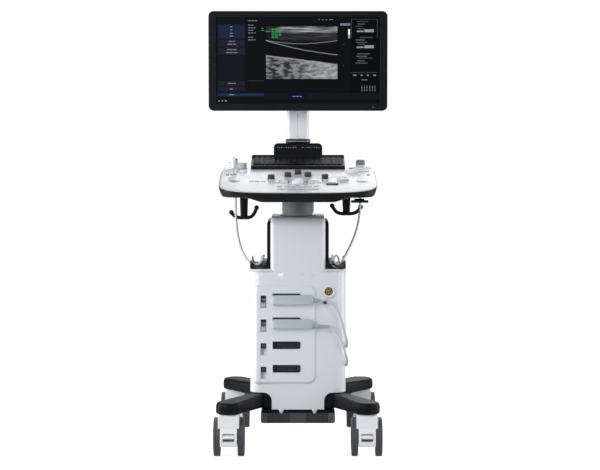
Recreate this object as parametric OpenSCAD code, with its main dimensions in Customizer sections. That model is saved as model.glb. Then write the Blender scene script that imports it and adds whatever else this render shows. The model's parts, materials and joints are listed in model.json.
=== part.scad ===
// Cart-based ultrasound scanner. Millimetres, +Z up, front faces -Y, origin on the floor.

/* [Base and casters] */
// Distance from the centre to each caster's swivel axis, sideways
swivel_x = 194; // [180:1:210]
// Distance from the centre to the front swivel axes
swivel_front_y = 260; // [250:1:275]
// Distance from the centre to the rear swivel axes
swivel_rear_y = 225; // [215:1:240]
// Radius of a caster wheel
wheel_r = 55; // [45:1:56]
// Width of one wheel of a twin caster
wheel_w = 18.5; // [14:0.5:19]
// Distance of the wheel axle behind the swivel axis
caster_trail = 20; // [12:1:22]

/* [Body] */
// Width of the lower body
body_w = 276; // [270:1:290]
// Front face of the lower body, as a distance in front of the centre
body_front = 130; // [126:1:136]
// Rear face of the lower body, as a distance behind the centre
body_rear = 150; // [145:1:165]
// Height of the shoulders where the torso starts
shoulder_z = 520; // [515:1:530]
// Width of the white torso
torso_w = 158; // [150:1:160]
// Top of the torso
torso_top_z = 668; // [655:1:680]
// Thickness of every moulded cover
wall = 3; // [2.5:0.5:3.5]
// Radius of the sliding lift column
column_r = 46.5; // [40:0.5:48]

/* [Console] */
// Width of the control console
console_w = 450; // [440:1:470]
// Front lip of the console, as a distance in front of the centre
console_front = 265; // [255:1:275]
// Rear edge of the console, as a distance behind the centre
console_rear = 232; // [230:1:240]
// Height of the console's front lip
lip_z = 745; // [738:1:750]
// Height of the flat rear part of the console
deck_z = 803; // [795:1:810]
// Width of the keyboard
keyboard_w = 278; // [260:1:290]

/* [Monitor] */
// Width of the monitor
monitor_w = 535; // [500:1:560]
// Height of the monitor
monitor_h = 297; // [285:1:310]
// Height of the monitor's lower edge
monitor_z = 977; // [970:1:990]
// Front face of the monitor, as a distance behind the centre
monitor_y = 110; // [105:1:112]

/* [Probe cables] */
// Diameter of both probe cables
cable_d = 6.6; // [5:0.2:7]

/* [Hidden] */
$fn = 48;

running = 0.05; // radial clearance of a shaft in its bore
gap = 0.4; // clearance beside a moving piece
skin = 0.2; // gap between neighbouring covers

hub_half_w = 107;
hub_z = 74;
hub_top_z = 112;
core_half_w = 75.8;
core_top_z = 160;
notch_z = 163;
skirt_z = 114;
cover_split_y = 10;
torso_front = 125;
torso_rear = 130;
body_corner_r = 12;
torso_corner_r = 10;
roll_r = 28; // roll-over at the top of the torso's front
column_y = 10;
lift_column_bottom_z = 330;
console_floor_z = 716;
console_side_z = 728;

leg_bottom_z = 125;
leg_end_top_z = 157;
leg_end_r = 36.5;
stem_r = 8;
stem_top_z = 150;
hood_top_z = 123;
hood_half_w = 22.5;
wheel_offset = 34; // centre of each wheel from the caster's middle plane
axle_r = 5;
pedal_half_w = 15.5;
pedal_axis = [-16, 62]; // y and z, from the swivel axis and the floor

port_top_z = [449, 380, 311, 243];
port_slot_x = [-71.5, 7];
port_slot_h = 20;
lock_x = -99;
lock_w = 16.4;
lock_h = 15;
lock_travel = 20;
round_port = [88.7, 456];
small_jack = [78, 424.5];
cover_tab_x = 48;
fan_z = 250;

slope = atan((deck_z - lip_z) / (console_front + 20));
deck_front_y = 20;
plate = 5;
trackball_at = [0, -150];
trackball_r = 21;
knob_places = [[-77, -101], [-29, -71], [0, -40], [29, -71], [78, -97]];
freeze_at = [98, -164];
dial_at = [129, -115];
probe_x = 186;
probe_y = 80;
gel_cup = [159, -6, 17]; // x, y and inside radius
tip_cup = [-160, -6, 9]; // x, y and inside radius
// x, y and half width of the square buttons
button_places = concat(
    [for (side = [-1, 1], i = [0 : 2]) [side * (42 + 18 * i), -150 + 7 * i * i, 6.5]],
    [for (side = [-1, 1], i = [0 : 2]) [side * 20 * i + side * 12, -190, 6.5]],
    [for (side = [-1, 1]) [side * 50, -122, 6]],
    [for (i = [0 : 2]) [-134 + 17 * i, -128, 6]]
);

post_y = 195;
collar_z = 880;
arm_z = 892;
swivel_r = 20;
tilt_axis = [190, 1120]; // y and z
tilt_r = 8;

// ---------------------------------------------------------------- shared shapes

function arc(x, y, r, from, to, n = 6) =
    [for (i = [0 : n]) let (a = from + (to - from) * i / n) [x + r * cos(a), y + r * sin(a)]];

// Rectangle with a radius of its own on each corner: low left, low right, high right, high left.
function corners(x0, y0, x1, y1, r) = concat(
    arc(x0 + r[0], y0 + r[0], r[0], 180, 270),
    arc(x1 - r[1], y0 + r[1], r[1], 270, 360),
    arc(x1 - r[2], y1 - r[2], r[2], 0, 90),
    arc(x0 + r[3], y1 - r[3], r[3], 90, 180)
);

function rounded(x0, y0, x1, y1, r) = corners(x0, y0, x1, y1, [r, r, r, r]);

module block(low, high) {
    translate(low) cube(high - low);
}

// An outline drawn in x and z, extruded from y0 to y1.
module along_y(y0, y1) {
    translate([0, y1, 0]) rotate([90, 0, 0]) linear_extrude(y1 - y0) children();
}

// An outline drawn in y and z, extruded from x0 to x1.
module along_x(x0, x1) {
    translate([x0, 0, 0]) rotate([90, 0, 90]) linear_extrude(x1 - x0) children();
}

module rod_x(x0, x1, y, z, r) {
    translate([x0, y, z]) rotate([0, 90, 0]) cylinder(r = r, h = x1 - x0);
}

module rod_y(y0, y1, x, z, r1, r2) {
    translate([x, y0, z]) rotate([-90, 0, 0]) cylinder(r1 = r1, r2 = r2, h = y1 - y0);
}

module at_post(x, y) {
    translate([x, y, 0]) children();
}

// ---------------------------------------------------------------- tube along a route

function unit(v) = v / norm(v);

function tangent(p, i) = unit(p[min(i + 1, len(p) - 1)] - p[max(i - 1, 0)]);

// Each ring's first direction is carried on from the last ring, so the tube doesn't twist.
function carried(v, t) = unit(v - (v * t) * t);

function frames(p) = [
    for (i = 0, v = carried([0, 1, 0.1], tangent(p, 0)); i < len(p);
         i = i + 1, v = i < len(p) ? carried(v, tangent(p, i)) : v) v
];

module tube(p, d, sides = 8) {
    v = frames(p);
    last = (len(p) - 1) * sides;
    points = [for (i = [0 : len(p) - 1]) let (t = tangent(p, i), w = cross(t, v[i]))
        for (k = [0 : sides - 1]) let (a = 360 * k / sides)
            p[i] + d / 2 * (cos(a) * v[i] + sin(a) * w)];
    skin_faces = [for (i = [0 : len(p) - 2], k = [0 : sides - 1]) let (m = (k + 1) % sides)
        each [[i * sides + k, (i + 1) * sides + m, i * sides + m],
              [i * sides + k, (i + 1) * sides + k, (i + 1) * sides + m]]];
    ends = [[for (k = [0 : sides - 1]) k], [for (k = [sides - 1 : -1 : 0]) last + k]];
    polyhedron(points, concat(skin_faces, ends), convexity = 8);
}

// From the upper connector, round the right side, up the back, over the right shoulder
// and cleat and up to the right probe.
cable_right_route = [
    [66, -146, 431], [70, -146, 431], [80, -147, 433], [91, -147, 429], [101, -146, 420],
    [110, -145, 409], [118, -143, 395], [125, -141, 376], [131, -139, 352], [137, -136, 330],
    [142, -127, 312], [142, -112, 300], [142, -90, 292], [142, -60, 288], [142, -20, 287],
    [142, 20, 290], [142, 60, 297], [142, 100, 306], [142, 134, 317], [143, 150, 328],
    [139, 156, 338], [131, 157, 352], [127, 157, 374], [126, 157, 410], [126, 157, 455], [126, 157, 495],
    [125, 157, 520], [121, 151, 536], [116, 141, 541], [110, 127, 537], [107, 108, 530],
    [106, 80, 528], [106, 30, 528], [106, -20, 530], [104, -60, 538], [101, -82, 549],
    [99, -99, 557], [103, -112, 548], [111, -110, 534], [122, -90, 532], [136, -45, 549],
    [148, -12, 568], [161, 18, 592], [173, 42, 622], [181, 60, 655], [185, 72, 690],
    [186, 80, 722], [186, 80, 744]
];

// From the second connector, round the right side, up the back, behind the torso,
// over the left shoulder and cleat and up to the left probe.
cable_left_route = [
    [89, -146, 357], [93, -146, 357], [100, -146, 352], [108, -146, 343], [117, -144, 331],
    [126, -142, 315], [132, -139, 296], [138, -135, 276], [142, -125, 258], [142, -107, 243],
    [142, -84, 236], [142, -40, 234], [142, 10, 236], [142, 60, 240], [142, 105, 246],
    [142, 136, 253], [143, 150, 260], [139, 156, 269], [130, 157, 282], [118, 157, 302], [115, 157, 345],
    [115, 157, 400], [115, 157, 450], [115, 157, 490], [112, 157, 520], [103, 151, 530],
    [90, 145, 530], [78, 142, 528], [0, 141, 526], [-80, 141, 526],
    [-104, 128, 530], [-110, 90, 528], [-110, 20, 527], [-107, -40, 533], [-101, -78, 550],
    [-99, -97, 557], [-103, -111, 548], [-113, -110, 534], [-128, -88, 531], [-144, -50, 538],
    [-156, -16, 550], [-166, 14, 567], [-174, 36, 588], [-180, 54, 616], [-184, 66, 650],
    [-186, 76, 688], [-186, 80, 720], [-186, 80, 744]
];

module cable_left() {
    color("#cdd0d4") tube(cable_left_route, cable_d);
}

module cable_right() {
    color("#cdd0d4") tube(cable_right_route, cable_d);
}

// ---------------------------------------------------------------- base and legs

module base_hub() {
    color("#26272a") difference() {
        union() {
            along_y(-body_front + 2, 140)
                polygon(rounded(-hub_half_w, hub_z, hub_half_w, hub_top_z, 8));
            block([-core_half_w, -124, hub_top_z - 1], [core_half_w, 134, core_top_z]);
        }
        for (side = [-1, 1])
            rod_y(-body_front, -body_front + 22, side * cover_tab_x, 108, 2.6, 2.6);
        for (side = [-1, 1])
            block([side * 42 - 28, -100, hub_top_z + 8], [side * 42 + 28, -70, core_top_z + 1]);
    }
}

// One leg, drawn on the right: a root beside the core and a round end over the caster.
module leg(root_y0, root_y1, end_y) {
    difference() {
        hull() {
            block([core_half_w, root_y0, leg_bottom_z - 8], [core_half_w + 12, root_y1, notch_z - 1]);
            at_post(swivel_x, end_y) translate([0, 0, leg_bottom_z])
                cylinder(r = leg_end_r, h = leg_end_top_z - leg_bottom_z - 5);
            at_post(swivel_x, end_y) translate([0, 0, leg_bottom_z])
                cylinder(r = leg_end_r - 6, h = leg_end_top_z - leg_bottom_z);
        }
        at_post(swivel_x, end_y) translate([0, 0, leg_bottom_z - 1])
            cylinder(r = stem_r + running, h = stem_top_z - leg_bottom_z + 2);
        // room for the hood's disc
        at_post(swivel_x, end_y) translate([0, 0, 100]) cylinder(r = 31, h = leg_bottom_z - 100);
    }
}

module leg_pair() {
    leg(-124, -46, -swivel_front_y);
    leg(52, 134, swivel_rear_y);
}

module legs_left() {
    color("#202124") mirror([1, 0, 0]) leg_pair();
}

module legs_right() {
    color("#202124") leg_pair();
}

// ---------------------------------------------------------------- casters

module caster_at(side, y) {
    translate([side * swivel_x, y, 0]) children();
}

module hood(pedal) {
    color("#e6e8ea") difference() {
        union() {
            translate([0, 0, 113]) cylinder(r = 28.5, h = hood_top_z - 113);
            cylinder_stem();
            along_x(-hood_half_w, hood_half_w) polygon(concat(
                arc(-15, 101, 13, 90, 180), arc(-12, 50, 16, 180, 270),
                arc(36, 50, 16, 270, 360), arc(26, 88, 26, 0, 90)));
        }
        rod_x(-40, 40, caster_trail, wheel_r, axle_r + running);
        if (pedal)
            block([-pedal_half_w - 1, -40, 40], [pedal_half_w + 1, -4, 84]);
    }
    if (pedal)
        color("#9a9ca0") rod_x(-pedal_half_w - 2, pedal_half_w + 2, pedal_axis[0], pedal_axis[1], 3);
}

module cylinder_stem() {
    translate([0, 0, 112]) cylinder(r = stem_r, h = stem_top_z - 112);
}

module wheels() {
    color("#3f3f44") for (side = [-1, 1])
        translate([side * wheel_offset - wheel_w / 2, caster_trail, wheel_r]) rotate([0, 90, 0])
            rotate_extrude() polygon(concat(
                [[0, 0]], arc(wheel_r - 5, 5, 5, 270, 360, 4),
                arc(wheel_r - 5, wheel_w - 5, 5, 0, 90, 4), [[0, wheel_w]]));
    color("#9a9ca0") rod_x(-wheel_offset, wheel_offset, caster_trail, wheel_r, axle_r);
}

module pedal() {
    color("#e6e8ea") difference() {
        along_x(-pedal_half_w, pedal_half_w) polygon([
            [-40, 60], [-38, 57], [-27, 57], [-20, 55], [-11, 56], [-9, 62], [-11, 68], [-20, 69],
            [-30, 67], [-39, 64]]);
        rod_x(-20, 20, pedal_axis[0], pedal_axis[1], 3 + running);
    }
}

module hood_front_left() { caster_at(-1, -swivel_front_y) hood(true); }
module hood_front_right() { caster_at(1, -swivel_front_y) hood(true); }
module hood_rear_left() { caster_at(-1, swivel_rear_y) hood(false); }
module hood_rear_right() { caster_at(1, swivel_rear_y) hood(false); }
module wheels_front_left() { caster_at(-1, -swivel_front_y) wheels(); }
module wheels_front_right() { caster_at(1, -swivel_front_y) wheels(); }
module wheels_rear_left() { caster_at(-1, swivel_rear_y) wheels(); }
module wheels_rear_right() { caster_at(1, swivel_rear_y) wheels(); }
module pedal_left() { caster_at(-1, -swivel_front_y) pedal(); }
module pedal_right() { caster_at(1, -swivel_front_y) pedal(); }

// ---------------------------------------------------------------- body covers

// The outside of both covers, shrunk by i: lower body and torso.
module body_solid(i) {
    w = body_w / 2 - i;
    t = torso_w / 2 - i;
    translate([0, 0, notch_z - (i > 0 ? 1 : 0)]) linear_extrude(shoulder_z - notch_z - (i > 0 ? i - 1 : 0))
        polygon(rounded(-w, -body_front + i, w, body_rear - i, body_corner_r));
    intersection() {
        translate([0, 0, shoulder_z - wall - 1]) linear_extrude(200)
            polygon(rounded(-t, -torso_front + i, t, torso_rear - i, torso_corner_r));
        along_x(-t, t) polygon(concat(
            [[-torso_front + i, 400], [torso_rear - i, 400]],
            arc(torso_rear - 8 - i, torso_top_z - 8 - i, 8, 0, 90),
            arc(-torso_front + roll_r + i, torso_top_z - roll_r - i, roll_r, 90, 180)));
    }
}

module body_shell() {
    difference() {
        body_solid(0);
        body_solid(wall);
        // the top cap's place
        block([-torso_w / 2 + wall, -92, torso_top_z - 20], [torso_w / 2 - wall, 122, torso_top_z + 1]);
    }
}

module front_cover() {
    color("#d6d9dd") difference() {
        union() {
            intersection() {
                body_shell();
                block([-200, -200, 0], [200, cover_split_y, 800]);
            }
            along_y(-body_front, -body_front + wall)
                polygon(rounded(skin - core_half_w, skirt_z, core_half_w - skin, notch_z + 12, 6));
            for (side = [-1, 1]) along_y(-body_front, -body_front + 2) polygon([
                [side * cover_tab_x - 12, skirt_z + 1], [side * cover_tab_x - 6, 103],
                [side * cover_tab_x + 6, 103], [side * cover_tab_x + 12, skirt_z + 1]]);
        }
        along_y(-body_front - 1, -body_front + 10) polygon(rounded(-122, 198, 45, 464, 10));
        rod_y(-body_front - 1, -body_front + 10, round_port[0], round_port[1], 16, 16);
        rod_y(-body_front - 1, -body_front + 10, small_jack[0], small_jack[1], 6, 6);
        for (side = [-1, 1])
            rod_y(-body_front - 1, -body_front + 5, side * cover_tab_x, 108, 2.6, 2.6);
    }
}

module rear_cover() {
    color("#d6d9dd") difference() {
        union() {
            intersection() {
                body_shell();
                block([-200, cover_split_y + skin, 0], [200, 200, 800]);
            }
            along_y(body_rear - wall, body_rear)
                polygon(rounded(skin - core_half_w, skirt_z, core_half_w - skin, notch_z + 12, 6));
        }
        for (i = [0 : 9])
            along_y(body_rear - 10, body_rear + 1)
                polygon(rounded(-70, 196 + 12 * i, 70, 202 + 12 * i, 2.9));
        for (i = [0 : 5])
            along_y(torso_rear - 10, torso_rear + 1)
                polygon(rounded(-40, 560 + 12 * i, 40, 566 + 12 * i, 2.9));
        along_y(body_rear - 10, body_rear + 1) polygon(rounded(-102, 176, -76, 210, 3));
    }
}

// Black strip beside the torso that flares into a tray on the shoulder, and its cable cleat.
module side_trim() {
    x0 = torso_w / 2 + skin;
    color("#1e1f22") difference() {
        union() {
            along_x(x0, x0 + 9.8) polygon(concat(
                [[-113, shoulder_z + skin], [torso_rear - 2, shoulder_z + skin]],
                arc(torso_rear - 12, 646, 10, 0, 90), arc(-93, 636, 20, 90, 180)));
            translate([0, 0, shoulder_z + skin]) linear_extrude(18)
                polygon(corners(x0, -119, 137, torso_rear - 2, [2, 12, 8, 2]));
        }
        translate([0, 0, shoulder_z + 3]) linear_extrude(40)
            polygon(corners(x0 + 9.8, -115, 133.5, torso_rear - 5.5, [8, 9, 5, 8]));
        // the front corner is lower where the cable comes in, and so are two places on its way
        block([120, -125, shoulder_z + 7], [140, -62, 560]);
        block([128, -64, shoulder_z + 13], [140, 96, 560]);
        block([88, 110, shoulder_z + 3], [140, 140, 560]);
    }
    color("#d8dadc") block([x0 + 9.8, -104, 545], [106, -94, 548.8]);
}

module side_trims() {
    side_trim();
    mirror([1, 0, 0]) side_trim();
}

module top_cap() {
    color("#cfd2d6") difference() {
        block([-torso_w / 2 + wall + skin, -92 + skin, torso_top_z - 7],
              [torso_w / 2 - wall - skin, 122 - skin, torso_top_z - 0.5]);
        translate([0, column_y, torso_top_z - 20]) cylinder(r = column_r + 0.6, h = 40);
    }
}

module cover_screws() {
    color("#b9bbbe") {
        for (side = [-1, 1]) translate([side * cover_tab_x, 0, 108]) {
            rod_y(-body_front - 2.2, -body_front, 0, 0, 3.4, 4.2);
            rod_y(-body_front, -body_front + 20, 0, 0, 2.4, 2.4);
        }
    }
}

// ---------------------------------------------------------------- lift column and inner pieces

module column_outer() {
    color("#6b6e73") translate([0, column_y, core_top_z]) difference() {
        cylinder(r = column_r + 7, h = 495);
        translate([0, 0, 10]) cylinder(r = column_r + running, h = 500);
    }
}

module lift_column() {
    color("#454d57") translate([0, column_y, lift_column_bottom_z]) difference() {
        cylinder(r = column_r, h = console_floor_z - lift_column_bottom_z);
        translate([0, 0, -1]) cylinder(r = column_r - 4, h = console_floor_z - lift_column_bottom_z - 9);
    }
}

module card_rack() {
    color("#8f9296") {
        block([-118, -106, 200], [60, -102, 468]);
        for (x = [-118, 57]) block([x, -102, 200], [x + 3, -52, 468]);
    }
    color("#2f6b48") for (i = [0 : 3]) block([-92 + 36 * i, -102, 214], [-89 + 36 * i, -54, 454]);
}

module power_supply() {
    color("#8f9296") difference() {
        block([-128, -44, core_top_z + 4], [-60, 96, 300]);
        for (i = [0 : 5]) block([-130, -30 + 20 * i, 190], [-126, -20 + 20 * i, 280]);
    }
}

module fan_housing() {
    color("#2a2b2e") difference() {
        along_y(120, 145) polygon(rounded(-60, fan_z - 60, 60, fan_z + 60, 8));
        rod_y(119, 141, 0, fan_z, 56, 56);
        for (i = [0 : 3]) rotate_about_fan(90 * i + 45) block([-12, 138, 14], [12, 146, 52]);
    }
    color("#2a2b2e") rod_y(136, 141.5, 0, fan_z, 12, 12);
}

module rotate_about_fan(a) {
    translate([0, 0, fan_z]) rotate([0, a, 0]) children();
}

module fan_rotor() {
    color("#3a3b3f") {
        rod_y(122, 135, 0, fan_z, 20, 20);
        for (i = [0 : 6]) rotate_about_fan(360 * i / 7)
            translate([0, 128, 35]) rotate([0, 0, 38]) cube([20, 2.4, 36], center = true);
    }
}

module power_inlet() {
    color("#17181a") difference() {
        union() {
            along_y(body_rear - wall - 22, body_rear + 1)
                polygon(rounded(-101.6, 176.4, -76.4, 209.6, 2.8));
            along_y(body_rear + skin, body_rear + 3)
                polygon(rounded(-106, 172, -72, 214, 3));
        }
        along_y(body_rear - 16, body_rear + 4) polygon(rounded(-99, 180, -79, 206, 4));
    }
    color("#b9bbbe") for (z = [186, 193, 200])
        block([-90, body_rear - 17, z - 1], [-86, body_rear - 4, z + 1]);
}

// ---------------------------------------------------------------- ports on the front

module port_panel() {
    color("#d6d9dd") difference() {
        union() {
            along_y(-body_front - 5, -body_front - skin)
                polygon(corners(-body_w / 2 + 5, 190, 51, 470, [14, 22, 14, 14]));
            along_y(-body_front - 1, -108) polygon(rounded(-121.5, 198.5, 44.5, 463.5, 10));
        }
        for (top = port_top_z) {
            along_y(-body_front - 6, -114)
                polygon(rounded(port_slot_x[0], top - port_slot_h, port_slot_x[1], top, 3));
            along_y(-body_front - 6, -body_front + 9) polygon(rounded(
                lock_x - lock_w / 2 - 0.3, top - 40, lock_x + lock_w / 2 + 0.3, top - 4, 1));
        }
    }
}

// Each connector: a flat body with a round end, the plug in its slot, and its strain relief.
module connector(top, relief_x, relief_z) {
    color("#a9adb2") along_y(-body_front - 26, -body_front - 5 - skin)
        polygon(corners(-77.5, top - 30, 42, top - 4, [3, 12, 12, 3]));
    color("#8b8f94") along_y(-body_front - 5 - skin, -120) polygon(rounded(
        port_slot_x[0] + 1, top - port_slot_h + 1, port_slot_x[1] - 1, top - 5, 2));
    color("#4a4c50") translate([41.8, -146, relief_z]) rotate([0, 90, 0])
        cylinder(r1 = 6, r2 = cable_d / 2 + 0.3, h = relief_x - 41.8);
}

module probe_connectors() {
    connector(port_top_z[0], cable_right_route[0][0], cable_right_route[0][2]);
    connector(port_top_z[1], cable_left_route[0][0], cable_left_route[0][2]);
}

module port_lock(n, bottom) {
    color(n < 2 ? "#8d9196" : "#2a2b2e") difference() {
        along_y(-body_front - 4.6, -body_front + 5) polygon(rounded(
            lock_x - lock_w / 2, bottom, lock_x + lock_w / 2, bottom + lock_h, 1.5));
        rod_x(lock_x - 20, lock_x + 20, -body_front - 8, bottom + lock_h / 2, 5);
    }
}

module port_lock_1() { port_lock(0, port_top_z[0] - 39.6); }
module port_lock_2() { port_lock(1, port_top_z[1] - 39.6); }
module port_lock_3() { port_lock(2, port_top_z[2] - 4.4 - lock_h); }
module port_lock_4() { port_lock(3, port_top_z[3] - 4.4 - lock_h); }

module ring_y(x, z, y0, y1, r_out, r_in) {
    difference() {
        rod_y(y0, y1, x, z, r_out, r_out);
        rod_y(y0 - 1, y1 + 1, x, z, r_in, r_in);
    }
}

module front_jacks() {
    color("#e4e6e9") ring_y(round_port[0], round_port[1], -body_front - 3, -body_front - skin, 18.4, 11.8);
    color("#c9ccd0") ring_y(round_port[0], round_port[1], -body_front - 1, -116, 15.6, 11.8);
    color("#8a6a3c") rod_y(-120, -116, round_port[0], round_port[1], 11.9, 11.9);
    color("#5d6a86") ring_y(small_jack[0], small_jack[1], -body_front - 3, -body_front - skin, 7.7, 4);
    color("#1b1c1f") ring_y(small_jack[0], small_jack[1], -body_front - 1, -118, 5.6, 4);
    color("#1b1c1f") rod_y(-120, -118, small_jack[0], small_jack[1], 4.1, 4.1);
}

// ---------------------------------------------------------------- console

// Outline of the console, shrunk by i: a rounded form with a bowed front edge.
function console_outline(i) = [
    for (a = [0 : 6 : 354]) let (c = cos(a), s = sin(a), power = 2 / 4)
        [(console_w / 2 - i) * sign(c) * pow(abs(c), power),
         -120 + ((s < 0 ? console_front - 120 : console_rear + 120) - i) * sign(s) * pow(abs(s), power)]
];

function panel_z(y) = y < deck_front_y ? lip_z + (y + console_front) * tan(slope) : deck_z;

// The top surface lowered by d, as an outline in y and z that reaches down to the floor of it.
function under_top(d, bottom) = [
    [-console_front - 5, bottom], [-console_front - 5, panel_z(-console_front - 5) - d],
    [deck_front_y, deck_z - d], [console_rear + 5, deck_z - d], [console_rear + 5, bottom]
];

// Puts a piece on the sloped control surface.
module on_panel(place) {
    translate([place[0], place[1], panel_z(place[1])]) rotate([slope, 0, 0]) children();
}

// Outline of the console's lower side in x and z: deeper in the middle.
function keel(d) = [
    [-240, 900], [-240, console_side_z + d], [-145, console_side_z + d], [-108, console_floor_z + d],
    [108, console_floor_z + d], [145, console_side_z + d], [240, console_side_z + d], [240, 900]
];

module console_top() {
    color("#dfe1e4") difference() {
        intersection() {
            translate([0, 0, 700]) linear_extrude(120) polygon(console_outline(0));
            difference() {
                along_x(-300, 300) polygon(under_top(0, 690));
                along_x(-301, 301) polygon(under_top(plate, 680));
            }
        }
        on_panel(trackball_at) translate([0, 0, -30]) cylinder(r = trackball_r + 0.8, h = 40);
        for (place = button_places)
            on_panel(place) cube([2 * place[2] + 2 * gap, 2 * place[2] + 2 * gap, 60], center = true);
        on_panel(freeze_at) cube([33 + 2 * gap, 25 + 2 * gap, 60], center = true);
        for (side = [-1, 1]) translate([side * probe_x, probe_y, 700]) cylinder(r = 30.3, h = 150);
        for (cup = [gel_cup, tip_cup])
            translate([cup[0], cup[1], 700]) cylinder(r = cup[2] + 2.3, h = 150);
    }
}

module console_shape(i, d, floor_d) {
    intersection() {
        translate([0, 0, 700]) linear_extrude(120) polygon(console_outline(i));
        along_x(-300, 300) polygon(under_top(d, 690));
        along_y(-300, 300) polygon(keel(floor_d));
    }
}

module console_base() {
    color("#1b1c1e") difference() {
        console_shape(1.5, plate + skin, 0);
        console_shape(1.5 + wall, plate - 1, wall);
        for (side = [-1, 1]) translate([side * probe_x, probe_y, 0]) {
            translate([0, 0, 700]) cylinder(r = 9, h = 60);
            translate([0, 0, 741]) cylinder(r = 30.1, h = 70);
        }
    }
}

module keyboard_tray() {
    color("#1b1c1e") difference() {
        along_x(-keyboard_w / 2, keyboard_w / 2)
            polygon([[22, deck_z], [22, 812], [26, 814.5], [122, 839], [125, 837], [125, deck_z]]);
        on_keyboard() translate([-keyboard_w / 2 + 7, 9, -3]) cube([keyboard_w - 14, 82, 20]);
    }
}

// The keyboard's own plane, from its front edge.
module on_keyboard() {
    translate([0, 26, 814.5]) rotate([atan(24.5 / 96), 0, 0]) children();
}

module keyboard_keys() {
    pitch_x = (keyboard_w - 16) / 16;
    pitch_y = 16;
    color("#2c2d30") on_keyboard() {
        translate([-keyboard_w / 2 + 8, 10, -1.2]) cube([keyboard_w - 16, 80, 1.2]);
        translate([-keyboard_w / 2 + 8, 10, -0.2]) linear_extrude(3)
            for (row = [0 : 4], column = [0 : 15])
                if (row > 0 || column < 4 || column > 10)
                    translate([column * pitch_x + 0.9, row * pitch_y + 0.9])
                        square([pitch_x - 1.8, pitch_y - 1.8]);
        translate([-keyboard_w / 2 + 8 + 4 * pitch_x + 0.9, 10.9, -0.2])
            cube([7 * pitch_x - 1.8, pitch_y - 1.8, 3]);
    }
}

module menu_display() {
    color("#17181a") intersection() {
        along_x(-73, 73)
            polygon([[127, deck_z], [127, 842], [146, collar_z], [156, collar_z], [156, deck_z]]);
        along_y(100, 200) polygon(corners(-73, deck_z, 73, collar_z, [3, 3, 14, 14]));
    }
}

// A cup through the deck with a rim above it and a hole for the cable in its floor.
module holder_cup(rim_top) {
    difference() {
        union() {
            translate([0, 0, 742]) cylinder(r = 29.8, h = deck_z - 741);
            translate([0, 0, deck_z]) cylinder(r = 35, h = 3);
            translate([0, 0, deck_z]) cylinder(r = 33, h = rim_top - deck_z);
        }
        translate([0, 0, 746]) cylinder(r = 27.6, h = 200);
        translate([0, 0, 700]) cylinder(r = 5, h = 200);
    }
}

// A plain round pocket that hangs from the sloped surface.
module pocket(cup) {
    z = panel_z(cup[1]);
    translate([cup[0], cup[1], z - 42]) difference() {
        cylinder(r = cup[2] + 2, h = 46);
        translate([0, 0, 3]) cylinder(r = cup[2], h = 60);
    }
}

module holder_left() {
    color("#b9bec4") at_post(-probe_x, probe_y) holder_cup(822);
    color("#b9bec4") pocket(tip_cup);
}

module holder_right() {
    color("#b9bec4") at_post(probe_x, probe_y) holder_cup(808);
    color("#a5aab0") pocket(gel_cup);
}

// Anchor-shaped hanger: a stem under the console and two arms that curve up.
module cable_hook(x, bottom, span) {
    along_y(128, 144) {
        translate([x - 12, bottom + 5]) square([24, console_side_z - bottom - 5]);
        intersection() {
            translate([x - span / 2, bottom - 5]) square([span, 60]);
            translate([x, bottom + 62]) difference() {
                circle(r = 62, $fn = 96);
                circle(r = 52, $fn = 96);
            }
        }
    }
}

module cable_hooks() {
    color("#1b1c1e") difference() {
        union() {
            cable_hook(-163, 650, 86);
            cable_hook(146, 662, 96);
        }
        along_y(100, 160) polygon(keel(0));
    }
}

// Lever under the console's right side that frees the lift.
module release_lever() {
    color("#1b1c1e") difference() {
        union() {
            block([150, -236, 715], [198, -196, 721]);
            block([160, -200, 716], [188, -180, 722]);
            rod_x(160, 188, -182, 720, 5);
        }
        rod_x(150, 200, -182, 720, 2 + running);
    }
}

module knob() {
    color("#46484d") translate([0, 0, 0.5]) {
        difference() {
            cylinder(r = 10.5, h = 13);
            for (i = [0 : 11]) rotate([0, 0, 30 * i]) translate([11.6, 0, 3]) cylinder(r = 1.8, h = 12);
        }
    }
}

module knob_1() { on_panel(knob_places[0]) knob(); }
module knob_2() { on_panel(knob_places[1]) knob(); }
module knob_3() { on_panel(knob_places[2]) knob(); }
module knob_4() { on_panel(knob_places[3]) knob(); }
module knob_5() { on_panel(knob_places[4]) knob(); }

module trackball() {
    color("#dfe3e8") on_panel(trackball_at) translate([0, 0, -7]) sphere(r = trackball_r);
}

module trackball_ring() {
    color("#2a2b2e") on_panel(trackball_at) translate([0, 0, 0.1]) rotate_extrude()
        polygon([[21.8, 0], [30, 0], [28, 2.6], [24, 3.4], [20.9, 1.6]]);
}

module freeze_button() {
    color("#2c2d31") on_panel(freeze_at) translate([0, 0, -4])
        linear_extrude(7) polygon(rounded(-16.5, -12.5, 16.5, 12.5, 11));
}

// The square buttons stand on three rubber mats under the control surface.
module console_buttons() {
    color("#e8eaed") {
        for (place = button_places) on_panel(place) translate([0, 0, -11])
            linear_extrude(13.2) polygon(rounded(-place[2], -place[2], place[2], place[2], 2));
        on_panel(trackball_at) {
            translate([-145, -28, -11]) cube([118, 68, 1.5]);
            translate([27, -28, -11]) cube([53, 68, 1.5]);
            translate([-62, -52, -11]) cube([124, 23.4, 1.5]);
        }
    }
}

module gain_dial() {
    color("#c9ccd1") on_panel(dial_at) translate([0, 0, 0.5]) difference() {
        cylinder(r = 16.4, h = 7);
        translate([0, 0, 5]) cylinder(r = 12, h = 3);
    }
}

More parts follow.
